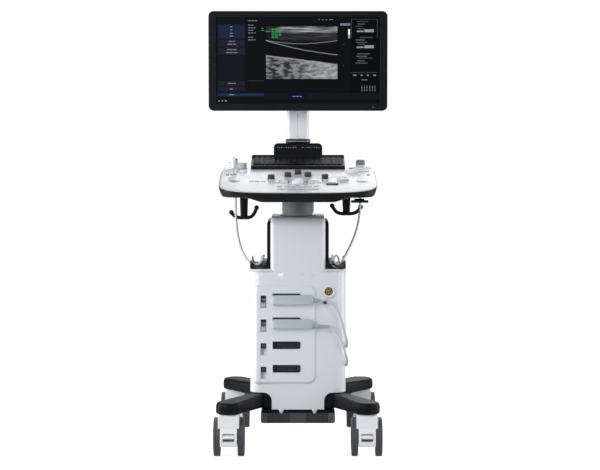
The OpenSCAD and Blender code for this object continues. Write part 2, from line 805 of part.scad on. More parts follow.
// A linear probe, face up, with its grip and strain relief below.
module probe_left() {
    at_post(-probe_x, probe_y) {
        color("#2c2d31") along_x(-6, 6) polygon(rounded(-22, 827, 22, 835, 3));
        color("#e4e6e8") difference() {
            along_x(-7, 7) polygon(concat(arc(-19, 823, 5, 90, 180), [[-12, 776], [-9, 758]],
                [[9, 758], [12, 776]], arc(19, 823, 5, 0, 90)));
        }
        color("#3a3b3f") translate([0, 0, 744]) cylinder(r1 = cable_d / 2 + 0.3, r2 = 6, h = 15);
    }
}

// A convex probe with a dark cap.
module probe_right() {
    at_post(probe_x, probe_y) {
        color("#5a5d62") along_x(-13, 13) polygon(concat(
            [[-21, 814], [21, 814]], arc(0, 808, 23, 20, 160, 10)));
        color("#d6d8da") along_x(-12, 12) polygon([[-20.5, 814], [-17, 785], [-10, 758],
            [10, 758], [17, 785], [20.5, 814]]);
        color("#3a3b3f") translate([0, 0, 744]) cylinder(r1 = cable_d / 2 + 0.3, r2 = 6, h = 15);
    }
}

// ---------------------------------------------------------------- monitor and its arm

module arm_collar() {
    color("#1b1c1e") at_post(0, post_y) difference() {
        union() {
            translate([0, 0, deck_z]) cylinder(r = 34, h = collar_z - deck_z);
            translate([0, 0, collar_z - 1]) cylinder(r = 38, h = arm_z - collar_z + 1);
        }
        translate([0, 0, 848]) cylinder(r = swivel_r + running, h = 60);
    }
}

module monitor_arm() {
    color("#cfd1d5") at_post(0, post_y) {
        translate([0, 0, 850]) cylinder(r = swivel_r, h = arm_z - 848);
        translate([0, 0, arm_z + 0.4]) linear_extrude(190)
            polygon(rounded(-33.5, -17, 33.5, 17, 9));
        translate([0, 0, arm_z + 180]) linear_extrude(tilt_axis[1] - arm_z - 180)
            polygon(rounded(-29.5, -17, 29.5, 12, 6));
    }
    color("#9a9ca0") {
        rod_x(-29.5, 29.5, tilt_axis[0], tilt_axis[1], 17);
        rod_x(-47, 47, tilt_axis[0], tilt_axis[1], tilt_r);
    }
}

function monitor_outline(i, r) =
    rounded(-monitor_w / 2 + i, monitor_z + i, monitor_w / 2 - i, monitor_z + monitor_h - i, r);

module monitor_bezel() {
    color("#141517") difference() {
        along_y(monitor_y, monitor_y + 22) polygon(monitor_outline(0, 15));
        along_y(monitor_y - 1, monitor_y + 4)
            polygon(rounded(-245.5, monitor_z + 21, 245.5, monitor_z + 279, 2));
        along_y(monitor_y + 3, monitor_y + 23) polygon(monitor_outline(6, 10));
    }
}

module screen_panel() {
    color("#0c1016") along_y(monitor_y + 3 + skin, monitor_y + 16) polygon(monitor_outline(7, 9));
}

module monitor_back() {
    color("#1b1c1e") difference() {
        union() {
            along_y(monitor_y + 22 + skin, monitor_y + 34) polygon(monitor_outline(2, 14));
            along_y(monitor_y + 34, monitor_y + 55)
                polygon(rounded(-130, monitor_z + 50, 130, monitor_z + 240, 24));
            for (side = [-1, 1]) hinge_ear(side);
        }
        along_y(monitor_y + 22, monitor_y + 31) polygon(monitor_outline(6, 12));
        block([-40, monitor_y + 35, monitor_z + 40], [40, monitor_y + 56, tilt_axis[1] - 12]);
        rod_x(-60, 60, tilt_axis[0], tilt_axis[1], tilt_r + running);
    }
}

module hinge_ear(side) {
    along_x(side * 38.5 - 7.5, side * 38.5 + 7.5) polygon(concat(
        [[monitor_y + 50, tilt_axis[1] + 17]], [[monitor_y + 50, tilt_axis[1] - 17]],
        arc(tilt_axis[0], tilt_axis[1], 17, -90, 90, 12)));
}

base_hub();
legs_left();
legs_right();
front_cover();
rear_cover();
side_trims();
top_cap();
column_outer();
port_panel();
probe_connectors();
front_jacks();
power_supply();
card_rack();
fan_housing();
power_inlet();
cover_screws();
cable_left();
cable_right();
fan_rotor();
port_lock_1();
port_lock_2();
port_lock_3();
port_lock_4();
lift_column();
console_base();
console_top();
keyboard_tray();
keyboard_keys();
menu_display();
holder_left();
holder_right();
cable_hooks();
release_lever();
knob_1();
knob_2();
knob_3();
knob_4();
knob_5();
trackball();
trackball_ring();
freeze_button();
console_buttons();
gain_dial();
probe_left();
probe_right();
arm_collar();
monitor_arm();
monitor_bezel();
screen_panel();
monitor_back();
hood_front_left();
hood_front_right();
hood_rear_left();
hood_rear_right();
wheels_front_left();
wheels_front_right();
wheels_rear_left();
wheels_rear_right();
pedal_left();
pedal_right();
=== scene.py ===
"""Looks of the cart-based ultrasound scanner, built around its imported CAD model. Metres, front faces -Y."""
import json
import math
import random

import bmesh
import bpy
from mathutils import Matrix, Vector

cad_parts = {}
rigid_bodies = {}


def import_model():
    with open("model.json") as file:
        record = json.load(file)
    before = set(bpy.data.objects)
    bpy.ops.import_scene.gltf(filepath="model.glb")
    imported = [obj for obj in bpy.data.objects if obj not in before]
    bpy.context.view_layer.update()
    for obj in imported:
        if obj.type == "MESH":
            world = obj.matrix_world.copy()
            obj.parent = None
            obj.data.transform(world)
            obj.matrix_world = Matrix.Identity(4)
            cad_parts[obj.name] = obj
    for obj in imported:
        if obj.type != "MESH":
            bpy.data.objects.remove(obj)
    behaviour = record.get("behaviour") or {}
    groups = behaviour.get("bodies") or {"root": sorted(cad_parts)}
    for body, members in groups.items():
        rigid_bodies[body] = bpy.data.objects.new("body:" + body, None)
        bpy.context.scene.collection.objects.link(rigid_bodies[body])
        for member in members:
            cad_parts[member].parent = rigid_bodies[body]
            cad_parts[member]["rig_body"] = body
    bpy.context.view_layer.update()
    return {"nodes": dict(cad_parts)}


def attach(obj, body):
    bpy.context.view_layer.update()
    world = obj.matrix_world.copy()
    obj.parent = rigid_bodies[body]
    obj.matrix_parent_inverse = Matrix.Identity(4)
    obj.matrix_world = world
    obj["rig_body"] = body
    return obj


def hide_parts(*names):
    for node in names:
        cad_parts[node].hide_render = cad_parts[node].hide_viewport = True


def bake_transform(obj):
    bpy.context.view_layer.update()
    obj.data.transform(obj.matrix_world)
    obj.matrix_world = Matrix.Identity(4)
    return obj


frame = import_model()
rng = random.Random(7)
MM = 0.001
scene = bpy.context.scene

# ---------------------------------------------------------------- camera

CAMERA_AT = (0.006, -5.09, 0.908)
CAMERA_DROP = math.radians(3.341)
camera_data = bpy.data.cameras.new("camera")
camera_data.lens = 103.95
camera_data.sensor_width = 36
camera = bpy.data.objects.new("camera", camera_data)
camera.location = CAMERA_AT
camera.rotation_euler = (math.pi / 2 - CAMERA_DROP, 0, 0)
scene.collection.objects.link(camera)
scene.camera = camera

# ---------------------------------------------------------------- materials

MATERIALS = {}


def material(name, color, rough=0.4, metal=0.0, grain=0.0, grain_scale=900, mottle=0.04,
             coat=0.0, glow=0.0, wear=0.0, brushed=None, alpha=1.0, sheen=0.0, shine=0.5):
    """A moulded, painted or metal surface: mottled colour and roughness, fine grain, worn edges."""
    if name in MATERIALS:
        return MATERIALS[name]
    m = bpy.data.materials.new(name)
    m.use_nodes = True
    t = m.node_tree
    bsdf = t.nodes["Principled BSDF"]
    bsdf.inputs["Metallic"].default_value = metal
    bsdf.inputs["Coat Weight"].default_value = coat
    bsdf.inputs["Coat Roughness"].default_value = 0.12
    bsdf.inputs["Sheen Weight"].default_value = sheen
    bsdf.inputs["Alpha"].default_value = alpha
    bsdf.inputs["Specular IOR Level"].default_value = shine
    place = t.nodes.new("ShaderNodeTexCoord")
    soft = t.nodes.new("ShaderNodeTexNoise")
    soft.inputs["Scale"].default_value = 14
    soft.inputs["Detail"].default_value = 5
    t.links.new(place.outputs["Object"], soft.inputs["Vector"])
    mix = t.nodes.new("ShaderNodeMix")
    mix.data_type = "RGBA"
    mix.inputs[6].default_value = (*[c * (1 - mottle) for c in color], 1)
    mix.inputs[7].default_value = (*[min(1, c * (1 + mottle)) for c in color], 1)
    t.links.new(soft.outputs["Fac"], mix.inputs[0])
    base = mix.outputs[2]
    if wear:
        edge = t.nodes.new("ShaderNodeNewGeometry")
        ramp = t.nodes.new("ShaderNodeMapRange")
        ramp.inputs["From Min"].default_value = 0.52
        ramp.inputs["From Max"].default_value = 0.62
        ramp.inputs["To Max"].default_value = wear
        t.links.new(edge.outputs["Pointiness"], ramp.inputs["Value"])
        worn = t.nodes.new("ShaderNodeMix")
        worn.data_type = "RGBA"
        worn.inputs[7].default_value = (*[min(1, c * 1.6 + 0.03) for c in color], 1)
        t.links.new(ramp.outputs["Result"], worn.inputs[0])
        t.links.new(base, worn.inputs[6])
        base = worn.outputs[2]
    t.links.new(base, bsdf.inputs["Base Color"])
    rough_map = t.nodes.new("ShaderNodeMapRange")
    rough_map.inputs["To Min"].default_value = max(0.02, rough - 0.06)
    rough_map.inputs["To Max"].default_value = min(1, rough + 0.06)
    smudge = t.nodes.new("ShaderNodeTexNoise")
    smudge.inputs["Scale"].default_value = 45
    smudge.inputs["Detail"].default_value = 6
    t.links.new(place.outputs["Object"], smudge.inputs["Vector"])
    t.links.new(smudge.outputs["Fac"], rough_map.inputs["Value"])
    t.links.new(rough_map.outputs["Result"], bsdf.inputs["Roughness"])
    if brushed:
        stretch = t.nodes.new("ShaderNodeMapping")
        stretch.inputs["Scale"].default_value = brushed
        t.links.new(place.outputs["Object"], stretch.inputs["Vector"])
        lines = t.nodes.new("ShaderNodeTexNoise")
        lines.inputs["Scale"].default_value = 60
        lines.inputs["Detail"].default_value = 4
        t.links.new(stretch.outputs["Vector"], lines.inputs["Vector"])
        height = lines.outputs["Fac"]
        strength, distance = 0.25, 0.0001
    else:
        pits = t.nodes.new("ShaderNodeTexNoise")
        pits.inputs["Scale"].default_value = grain_scale
        pits.inputs["Detail"].default_value = 2
        t.links.new(place.outputs["Object"], pits.inputs["Vector"])
        height = pits.outputs["Fac"]
        strength, distance = grain, 0.0002
    if strength:
        bump = t.nodes.new("ShaderNodeBump")
        bump.inputs["Strength"].default_value = strength
        bump.inputs["Distance"].default_value = distance
        t.links.new(height, bump.inputs["Height"])
        t.links.new(bump.outputs["Normal"], bsdf.inputs["Normal"])
    if glow:
        bsdf.inputs["Emission Color"].default_value = (*color, 1)
        bsdf.inputs["Emission Strength"].default_value = glow
    MATERIALS[name] = m
    return m


WHITE = material("cover_white", (0.68, 0.70, 0.735), 0.34, grain=0.05, mottle=0.012, coat=0.15)
PAD = material("port_white", (0.70, 0.72, 0.75), 0.36, grain=0.05, mottle=0.012, coat=0.1)
DECK = material("console_white", (0.45, 0.458, 0.48), 0.36, grain=0.06, mottle=0.012, coat=0.1)
CAP = material("cap_grey", (0.50, 0.52, 0.56), 0.38, grain=0.08, mottle=0.02)
BLACK = material("moulded_black", (0.006, 0.0063, 0.008), 0.40, grain=0.2, mottle=0.12, wear=0.08,
                 shine=0.16)
GLOSS = material("gloss_black", (0.005, 0.0053, 0.0065), 0.22, mottle=0.1, shine=0.09)
LEG = material("leg_black", (0.0042, 0.0046, 0.0068), 0.40, grain=0.12, mottle=0.1, wear=0.05, shine=0.1)
NECK = material("neck_metal", (0.72, 0.76, 0.82), 0.24, metal=0.5, mottle=0.05, brushed=(30, 30, 0.6))
STEEL = material("bright_steel", (0.62, 0.63, 0.65), 0.28, metal=1.0, mottle=0.05, brushed=(1, 30, 30))
ARM = material("arm_grey", (0.80, 0.81, 0.84), 0.36, metal=0.1, grain=0.06, mottle=0.02, coat=0.2)
INNER = material("inner_metal", (0.45, 0.46, 0.48), 0.45, metal=0.7, mottle=0.08)
HOOD = material("hood_white", (0.76, 0.78, 0.79), 0.40, grain=0.08, mottle=0.02)
TYRE = material("tyre_grey", (0.042, 0.042, 0.050), 0.62, grain=0.5, grain_scale=500, mottle=0.15, sheen=0.2)
RIM = material("rim_grey", (0.10, 0.10, 0.11), 0.45, grain=0.2, mottle=0.08)
KNOB = material("knob_grey", (0.028, 0.029, 0.035), 0.50, grain=0.3, mottle=0.1, wear=0.3)
KEY = material("key_black", (0.0045, 0.0047, 0.006), 0.5, grain=0.15, mottle=0.15, shine=0.05)
KEY_PRINT = material("key_print", (0.09, 0.093, 0.105), 0.5)
LEGEND = material("legend_grey", (0.42, 0.43, 0.46), 0.5, mottle=0.05)
BUTTON = material("button_white", (0.56, 0.57, 0.60), 0.42, grain=0.12, mottle=0.02, sheen=0.1)
BALL = material("ball_pearl", (0.68, 0.71, 0.76), 0.16, mottle=0.04, coat=0.6)
CUP = material("cup_frosted", (0.70, 0.73, 0.78), 0.30, grain=0.1, mottle=0.03, coat=0.3, alpha=0.82)
PLUG = material("connector_grey", (0.44, 0.48, 0.53), 0.36, grain=0.12, mottle=0.04, wear=0.15)
# pale grey plastic; also the painted highlights on the connector edges
PALE_GREY_AND_PAINTED_HIGHLIGHT = material("pale_grey_and_painted_highlight", (0.62, 0.65, 0.69), 0.36, grain=0.1, mottle=0.03)
LOCK = material("lock_grey", (0.28, 0.30, 0.33), 0.36, grain=0.15, mottle=0.05)
SOCKET = material("socket_dark", (0.012, 0.015, 0.024), 0.5, grain=0.2, mottle=0.2)
GOLD = material("contact_gold", (0.72, 0.48, 0.20), 0.28, metal=1.0, mottle=0.1)
INSERT = material("port_insert", (0.055, 0.028, 0.018), 0.45, grain=0.2, mottle=0.2)
BLUE_METAL = material("jack_metal", (0.06, 0.08, 0.16), 0.3, metal=0.5, mottle=0.05)
PROBE = material("probe_white", (0.66, 0.67, 0.69), 0.32, grain=0.05, mottle=0.02, coat=0.2)
PROBE_CAP = material("probe_grey", (0.13, 0.135, 0.15), 0.42, grain=0.15, mottle=0.05)
CABLE = material("cable_grey", (0.50, 0.52, 0.55), 0.48, grain=0.25, grain_scale=700, mottle=0.05)
RUBBER = material("soft_black", (0.02, 0.02, 0.022), 0.6, grain=0.4, mottle=0.1)
PRINT = material("print_violet", (0.36, 0.36, 0.50), 0.5, mottle=0.05)

# ---------------------------------------------------------------- places shared by several pieces, mm

PROBE_X, PROBE_Y = 186, 80
LIFT_Y, ARM_Y, TILT_Z = 10, 195, 1120
PORT_X, PORT_Z = 88.7, 456
JACK_X, JACK_Z = 78, 424.5
SWIVEL_X, SWIVEL_FRONT, SWIVEL_REAR = 194, -260, 225
AXLE_Z, TRAIL = 55, 20

# ---------------------------------------------------------------- mesh helpers


def ready(o, mat, body, smooth=True):
    """Material, shading and the body that the piece rides on."""
    o.data.materials.clear()
    o.data.materials.append(mat)
    for p in o.data.polygons:
        p.use_smooth = smooth
    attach(o, body)
    return o


def new_object(name, bm):
    bmesh.ops.recalc_face_normals(bm, faces=bm.faces)
    data = bpy.data.meshes.new(name)
    bm.to_mesh(data)
    bm.free()
    o = bpy.data.objects.new(name, data)
    scene.collection.objects.link(o)
    return o


def bake(o):
    """Applies every modifier of o."""
    bpy.context.view_layer.update()
    shape = bpy.data.meshes.new_from_object(o.evaluated_get(bpy.context.evaluated_depsgraph_get()))
    o.modifiers.clear()
    o.data = shape
    return o


def soften(o, width, segments=3, angle=34):
    """Rounds the sharp edges and keeps the flats flat."""
    bevel = o.modifiers.new("bevel", "BEVEL")
    bevel.width = width
    bevel.segments = segments
    bevel.limit_method = "ANGLE"
    bevel.angle_limit = math.radians(angle)
    bevel.use_clamp_overlap = True
    weighted = o.modifiers.new("normals", "WEIGHTED_NORMAL")
    weighted.keep_sharp = False
    return o


def cut(o, cutters, operation="DIFFERENCE"):
    for c in cutters:
        b = o.modifiers.new("cut", "BOOLEAN")
        b.operation = operation
        b.solver = "EXACT"
        b.object = c
        bake(o)
        bpy.data.objects.remove(c)
    return o


def place_point(plane, u, v, w):
    return {"xz": (u, w, v), "xy": (u, v, w), "yz": (w, u, v)}[plane]


def prism(name, outline, w0, w1, plane="xz"):
    """A flat outline in the named plane, extruded from w0 to w1 along the third axis."""
    bm = bmesh.new()
    low = [bm.verts.new(place_point(plane, u, v, w0)) for u, v in outline]
    high = [bm.verts.new(place_point(plane, u, v, w1)) for u, v in outline]
    bm.faces.new(low)
    bm.faces.new(list(reversed(high)))
    n = len(outline)
    for i in range(n):
        bm.faces.new((low[i], low[(i + 1) % n], high[(i + 1) % n], high[i]))
    return new_object(name, bm)


def loft(name, rings, cap=True):
    """Joins closed rings of points, each with the same number of points."""
    bm = bmesh.new()
    rows = [[bm.verts.new(p) for p in ring] for ring in rings]
    n = len(rings[0])
    for a, b in zip(rows, rows[1:]):
        for i in range(n):
            bm.faces.new((a[i], a[(i + 1) % n], b[(i + 1) % n], b[i]))
    if cap:
        bm.faces.new(list(reversed(rows[0])))
        bm.faces.new(rows[-1])
    return new_object(name, bm)


def arc(x, y, r, start, end, n=8):
    angles = [math.radians(start + (end - start) * i / n) for i in range(n + 1)]
    return [(x + r * math.cos(a), y + r * math.sin(a)) for a in angles]


def corners(x0, y0, x1, y1, r, n=8):
    """A rectangle with a radius for each corner: low left, low right, high right, high left."""
    a, b, c, d = r if isinstance(r, (tuple, list)) else (r, r, r, r)
    return (arc(x0 + a, y0 + a, a, 180, 270, n) + arc(x1 - b, y0 + b, b, 270, 360, n)
            + arc(x1 - c, y1 - c, c, 0, 90, n) + arc(x0 + d, y1 - d, d, 90, 180, n))


def lathe(name, profile, steps=64, centre=(0, 0, 0), axis="Z"):
    """A profile of (radius, height) turned about an axis."""
    turn = {"Z": Matrix.Identity(3), "X": Matrix.Rotation(math.pi / 2, 3, "Y"),
            "Y": Matrix.Rotation(-math.pi / 2, 3, "X")}[axis]
    rings = []
    for r, h in profile:
        ring = []
        for k in range(steps):
            a = 2 * math.pi * k / steps
            p = turn @ Vector((max(r, 1e-5) * math.cos(a), max(r, 1e-5) * math.sin(a), h))
            ring.append(p + Vector(centre))
        rings.append(ring)
    return loft(name, rings)


def turned(name, profile, steps=64, centre=(0, 0, 0), axis="Z"):
    """A lathed piece given in millimetres."""
    o = lathe(name, profile, steps, centre, axis)
    o.data.transform(Matrix.Scale(MM, 4))
    return o


def smooth_path(points, steps=6):
    """A Catmull-Rom curve through the points."""
    p = [Vector(q) for q in points]
    p = [2 * p[0] - p[1], *p, 2 * p[-1] - p[-2]]
    out = []
    for i in range(1, len(p) - 2):
        for k in range(steps):
            t = k / steps
            out.append(0.5 * ((2 * p[i]) + (p[i + 1] - p[i - 1]) * t
                              + (2 * p[i - 1] - 5 * p[i] + 4 * p[i + 1] - p[i + 2]) * t * t
                              + (3 * p[i] - p[i - 1] - 3 * p[i + 1] + p[i + 2]) * t ** 3))
    out.append(p[-2])
    return out


def sweep(name, path, section):
    """Sweeps a section, given by its angle as (across, up) offsets, along a path."""
    rings = []
    side = None
    for i, p in enumerate(path):
        t = (path[min(i + 1, len(path) - 1)] - path[max(i - 1, 0)]).normalized()
        if side is None:
            side = t.cross(Vector((0, 0, 1)) if abs(t.z) < 0.9 else Vector((0, 1, 0))).normalized()
        side = (side - t * side.dot(t)).normalized()
        up = side.cross(t)
        rings.append([p + side * a + up * b for a, b in section])
    return loft(name, rings)


def circle(r, n=16, squash=1.0):
    return [(r * math.cos(2 * math.pi * i / n), r * squash * math.sin(2 * math.pi * i / n))
            for i in range(n)]


def join(name, objects):
    """Joins meshes into one object, baked."""
    bm = bmesh.new()
    for o in objects:
        bake(o)
        o.data.transform(o.matrix_world)
        bm.from_mesh(o.data)
        bpy.data.objects.remove(o)
    data = bpy.data.meshes.new(name)
    bm.to_mesh(data)
    bm.free()
    o = bpy.data.objects.new(name, data)
    scene.collection.objects.link(o)
    return o


def refined(node, mat, width=0.0008, segments=3, angle=34):
    """A CAD node's shape with clean flats and rounded edges."""
    source = frame["nodes"][node]
    bm = bmesh.new()
    bm.from_mesh(source.data)
    bmesh.ops.remove_doubles(bm, verts=bm.verts, dist=2e-6)
    bmesh.ops.dissolve_limit(bm, angle_limit=math.radians(0.6), verts=bm.verts, edges=bm.edges)
    o = new_object(node + "_shape", bm)
    soften(o, width, segments, angle)
    ready(o, mat, source["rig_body"])
    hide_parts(node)
    return o


def box_mm(name, low, high, width=0.0005):
    o = prism(name, [(low[0], low[1]), (high[0], low[1]), (high[0], high[1]), (low[0], high[1])],
              low[2], high[2], "xy")
    o.data.transform(Matrix.Scale(MM, 4))
    if width:
        soften(o, width)
    return o


def mm(outline):
    return [(u * MM, v * MM) for u, v in outline]


# ---------------------------------------------------------------- probe cables

CABLE_D = 0.0066
RIGHT_ROUTE = [
    (66, -146, 431), (70, -146, 431), (80, -147, 433), (91, -147, 429), (101, -146, 420),
    (110, -145, 409), (118, -143, 395), (125, -141, 376), (131, -139, 352), (137, -136, 330),
    (142, -127, 312), (142, -112, 300), (142, -90, 292), (142, -60, 288), (142, -20, 287),
    (142, 20, 290), (142, 60, 297), (142, 100, 306), (142, 134, 317), (143, 150, 328),
    (139, 156, 338), (131, 157, 352), (127, 157, 374), (126, 157, 410), (126, 157, 455), (126, 157, 495),
    (125, 157, 520), (121, 151, 536), (116, 141, 541), (110, 127, 537), (107, 108, 530),
    (106, 80, 528), (106, 30, 528), (106, -20, 530), (104, -60, 538), (101, -82, 549),
    (99, -99, 557), (103, -112, 548), (111, -110, 534), (122, -90, 532), (136, -45, 549),
    (148, -12, 568), (161, 18, 592), (173, 42, 622), (181, 60, 655), (185, 72, 690),
    (186, 80, 722), (186, 80, 744)]
LEFT_ROUTE = [
    (89, -146, 357), (93, -146, 357), (100, -146, 352), (108, -146, 343), (117, -144, 331),
    (126, -142, 315), (132, -139, 296), (138, -135, 276), (142, -125, 258), (142, -107, 243),
    (142, -84, 236), (142, -40, 234), (142, 10, 236), (142, 60, 240), (142, 105, 246),
    (142, 136, 253), (143, 150, 260), (139, 156, 269), (130, 157, 282), (118, 157, 302), (115, 157, 345),
    (115, 157, 400), (115, 157, 450), (115, 157, 490), (112, 157, 520), (103, 151, 530),
    (90, 145, 530), (78, 142, 528), (0, 141, 526), (-80, 141, 526),
    (-104, 128, 530), (-110, 90, 528), (-110, 20, 527), (-107, -40, 533), (-101, -78, 550),
    (-99, -97, 557), (-103, -111, 548), (-113, -110, 534), (-128, -88, 531), (-144, -50, 538),
    (-156, -16, 550), (-166, 14, 567), (-174, 36, 588), (-180, 54, 616), (-184, 66, 650),
    (-186, 76, 688), (-186, 80, 720), (-186, 80, 744)]


def probe_cable(name, route, node):
    path = smooth_path([Vector(p) * MM for p in route])
    o = sweep(name, path, circle(CABLE_D / 2, 12))
    o.data.materials.append(CABLE)
    for p in o.data.polygons:
        p.use_smooth = True
    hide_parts(node)
    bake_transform(o)


probe_cable("probe_cable_right", RIGHT_ROUTE, "cable_right")
probe_cable("probe_cable_left", LEFT_ROUTE, "cable_left")

# ---------------------------------------------------------------- monitor

SCREEN_X = 245.3
SCREEN_LOW_Z, SCREEN_HIGH_Z = 998.3, 1255.7
SCREEN_Y = 112.6


def picture_material():
    """A made-up grey scan: layers on top, two thin vessel walls, speckled tissue below."""
    m = bpy.data.materials.new("scan_picture")
    m.use_nodes = True
    t = m.node_tree
    bsdf = t.nodes["Principled BSDF"]
    place = t.nodes.new("ShaderNodeTexCoord")
    split = t.nodes.new("ShaderNodeSeparateXYZ")
    t.links.new(place.outputs["Object"], split.inputs[0])

    def plug(socket, value):
        if isinstance(value, (int, float)):
            socket.default_value = value
        else:
            t.links.new(value, socket)

    def calc(kind, a, b=0.0):
        n = t.nodes.new("ShaderNodeMath")
        n.operation = kind
        plug(n.inputs[0], a)
        plug(n.inputs[1], b)
        return n.outputs[0]

    def ramp(value, low, high, start, end):
        n = t.nodes.new("ShaderNodeMapRange")
        n.interpolation_type = "SMOOTHSTEP"
        plug(n.inputs["Value"], value)
        for key, number in (("From Min", low), ("From Max", high), ("To Min", start), ("To Max", end)):
            n.inputs[key].default_value = number
        return n.outputs[0]

    def noise(scale_x, scale_z, detail=4):
        stretch = t.nodes.new("ShaderNodeMapping")
        stretch.inputs["Scale"].default_value = (scale_x, 1, scale_z)
        t.links.new(place.outputs["Object"], stretch.inputs["Vector"])
        n = t.nodes.new("ShaderNodeTexNoise")
        n.inputs["Scale"].default_value = 1
        n.inputs["Detail"].default_value = detail
        t.links.new(stretch.outputs["Vector"], n.inputs["Vector"])
        return n.outputs["Fac"]

    x0, x1, z0, z1 = PICTURE
    s = calc("DIVIDE", calc("SUBTRACT", split.outputs[0], x0), x1 - x0)
    d = calc("DIVIDE", calc("SUBTRACT", z1, split.outputs[2]), z1 - z0)
    wobble = calc("MULTIPLY", calc("SUBTRACT", noise(40, 10), 0.5), 0.03)
    d = calc("ADD", d, wobble)
    s2 = calc("MULTIPLY", s, s)
    upper = calc("ADD", 0.27, calc("SUBTRACT", calc("MULTIPLY", s, 0.24), calc("MULTIPLY", s2, 0.24)))
    lower = calc("ADD", 0.27, calc("SUBTRACT", calc("MULTIPLY", s, 0.42), calc("MULTIPLY", s2, 0.15)))
    floor_line = calc("ADD", 0.56, calc("MULTIPLY", s, 0.17))

    def line(height, width, bright):
        return ramp(calc("ABSOLUTE", calc("SUBTRACT", d, height)), 0, width, bright, 0)

    streaks = noise(18, 420, 3)
    top = calc("MULTIPLY", calc("MULTIPLY", ramp(d, 0.0, 0.02, 0, 1), ramp(d, 0.10, 0.14, 1, 0.12)),
               ramp(streaks, 0.35, 0.75, 0.1, 0.75))
    top = calc("MULTIPLY", top, ramp(d, 0.24, 0.3, 1, 0))
    top = calc("MULTIPLY", top, ramp(s, 0.12, 0.24, 0.15, 1))
    tissue = calc("MULTIPLY", ramp(calc("SUBTRACT", d, floor_line), 0.0, 0.02, 0, 1),
                  ramp(noise(46, 120, 8), 0.40, 0.64, 0.02, 0.42))
    tissue = calc("MULTIPLY", tissue, ramp(noise(420, 420, 2), 0.3, 0.7, 0.55, 1.1))
    tissue = calc("ADD", tissue, calc("MULTIPLY", ramp(s, 0.3, 0.9, 0.02, 0.34),
                                      ramp(calc("SUBTRACT", d, floor_line), 0.0, 0.02, 0, 1)))
    total = calc("ADD", top, tissue)
    for height, width, bright in ((upper, 0.011, 0.36), (lower, 0.013, 0.42), (floor_line, 0.022, 0.5)):
        total = calc("ADD", total, line(height, width, bright))
    total = calc("MINIMUM", calc("MULTIPLY", total, 0.85), 0.85)
    blend = t.nodes.new("ShaderNodeCombineColor")
    for k, tint in enumerate((0.98, 1.0, 1.04)):
        t.links.new(calc("MULTIPLY", total, tint), blend.inputs[k])
    bsdf.inputs["Base Color"].default_value = (0.004, 0.004, 0.006, 1)
    bsdf.inputs["Roughness"].default_value = 0.35
    bsdf.inputs["Specular IOR Level"].default_value = 0.05
    t.links.new(blend.outputs[0], bsdf.inputs["Emission Color"])
    bsdf.inputs["Emission Strength"].default_value = 0.75
    return m


def on_screen(u0, v0, u1, v1):
    """Screen shares, from the top left, to x and z in millimetres."""
    wide, tall = 2 * SCREEN_X, SCREEN_HIGH_Z - SCREEN_LOW_Z
    return (-SCREEN_X + u0 * wide, -SCREEN_X + u1 * wide,
            SCREEN_HIGH_Z - v1 * tall, SCREEN_HIGH_Z - v0 * tall)


PICTURE = [v * MM for v in on_screen(0.305, 0.104, 0.740, 0.713)]


def screen_tiles(name, color, tiles, lift=0.0, glow=1.0):
    """Flat panes of one colour on the screen, each a share of it."""
    panes = []
    for k, tile in enumerate(tiles):
        x0, x1, z0, z1 = on_screen(*tile)
        panes.append(box_mm(f"{name}_{k}", (x0, SCREEN_Y - 0.25 - lift, z0), (x1, SCREEN_Y - lift, z1), 0))
    o = join("screen_" + name, panes)
    return ready(o, material("screen_" + name, color, 0.35, mottle=0.08, glow=glow, shine=0.05), "monitor",
                 smooth=False)


def words(u, v, widths, height=0.008, gap=0.004):
    """A row of small unlettered bars, such as a line of text seen from afar."""
    row = []
    for w in widths:
        row.append((u, v, u + w, v + height))
        u += w + gap
    return row


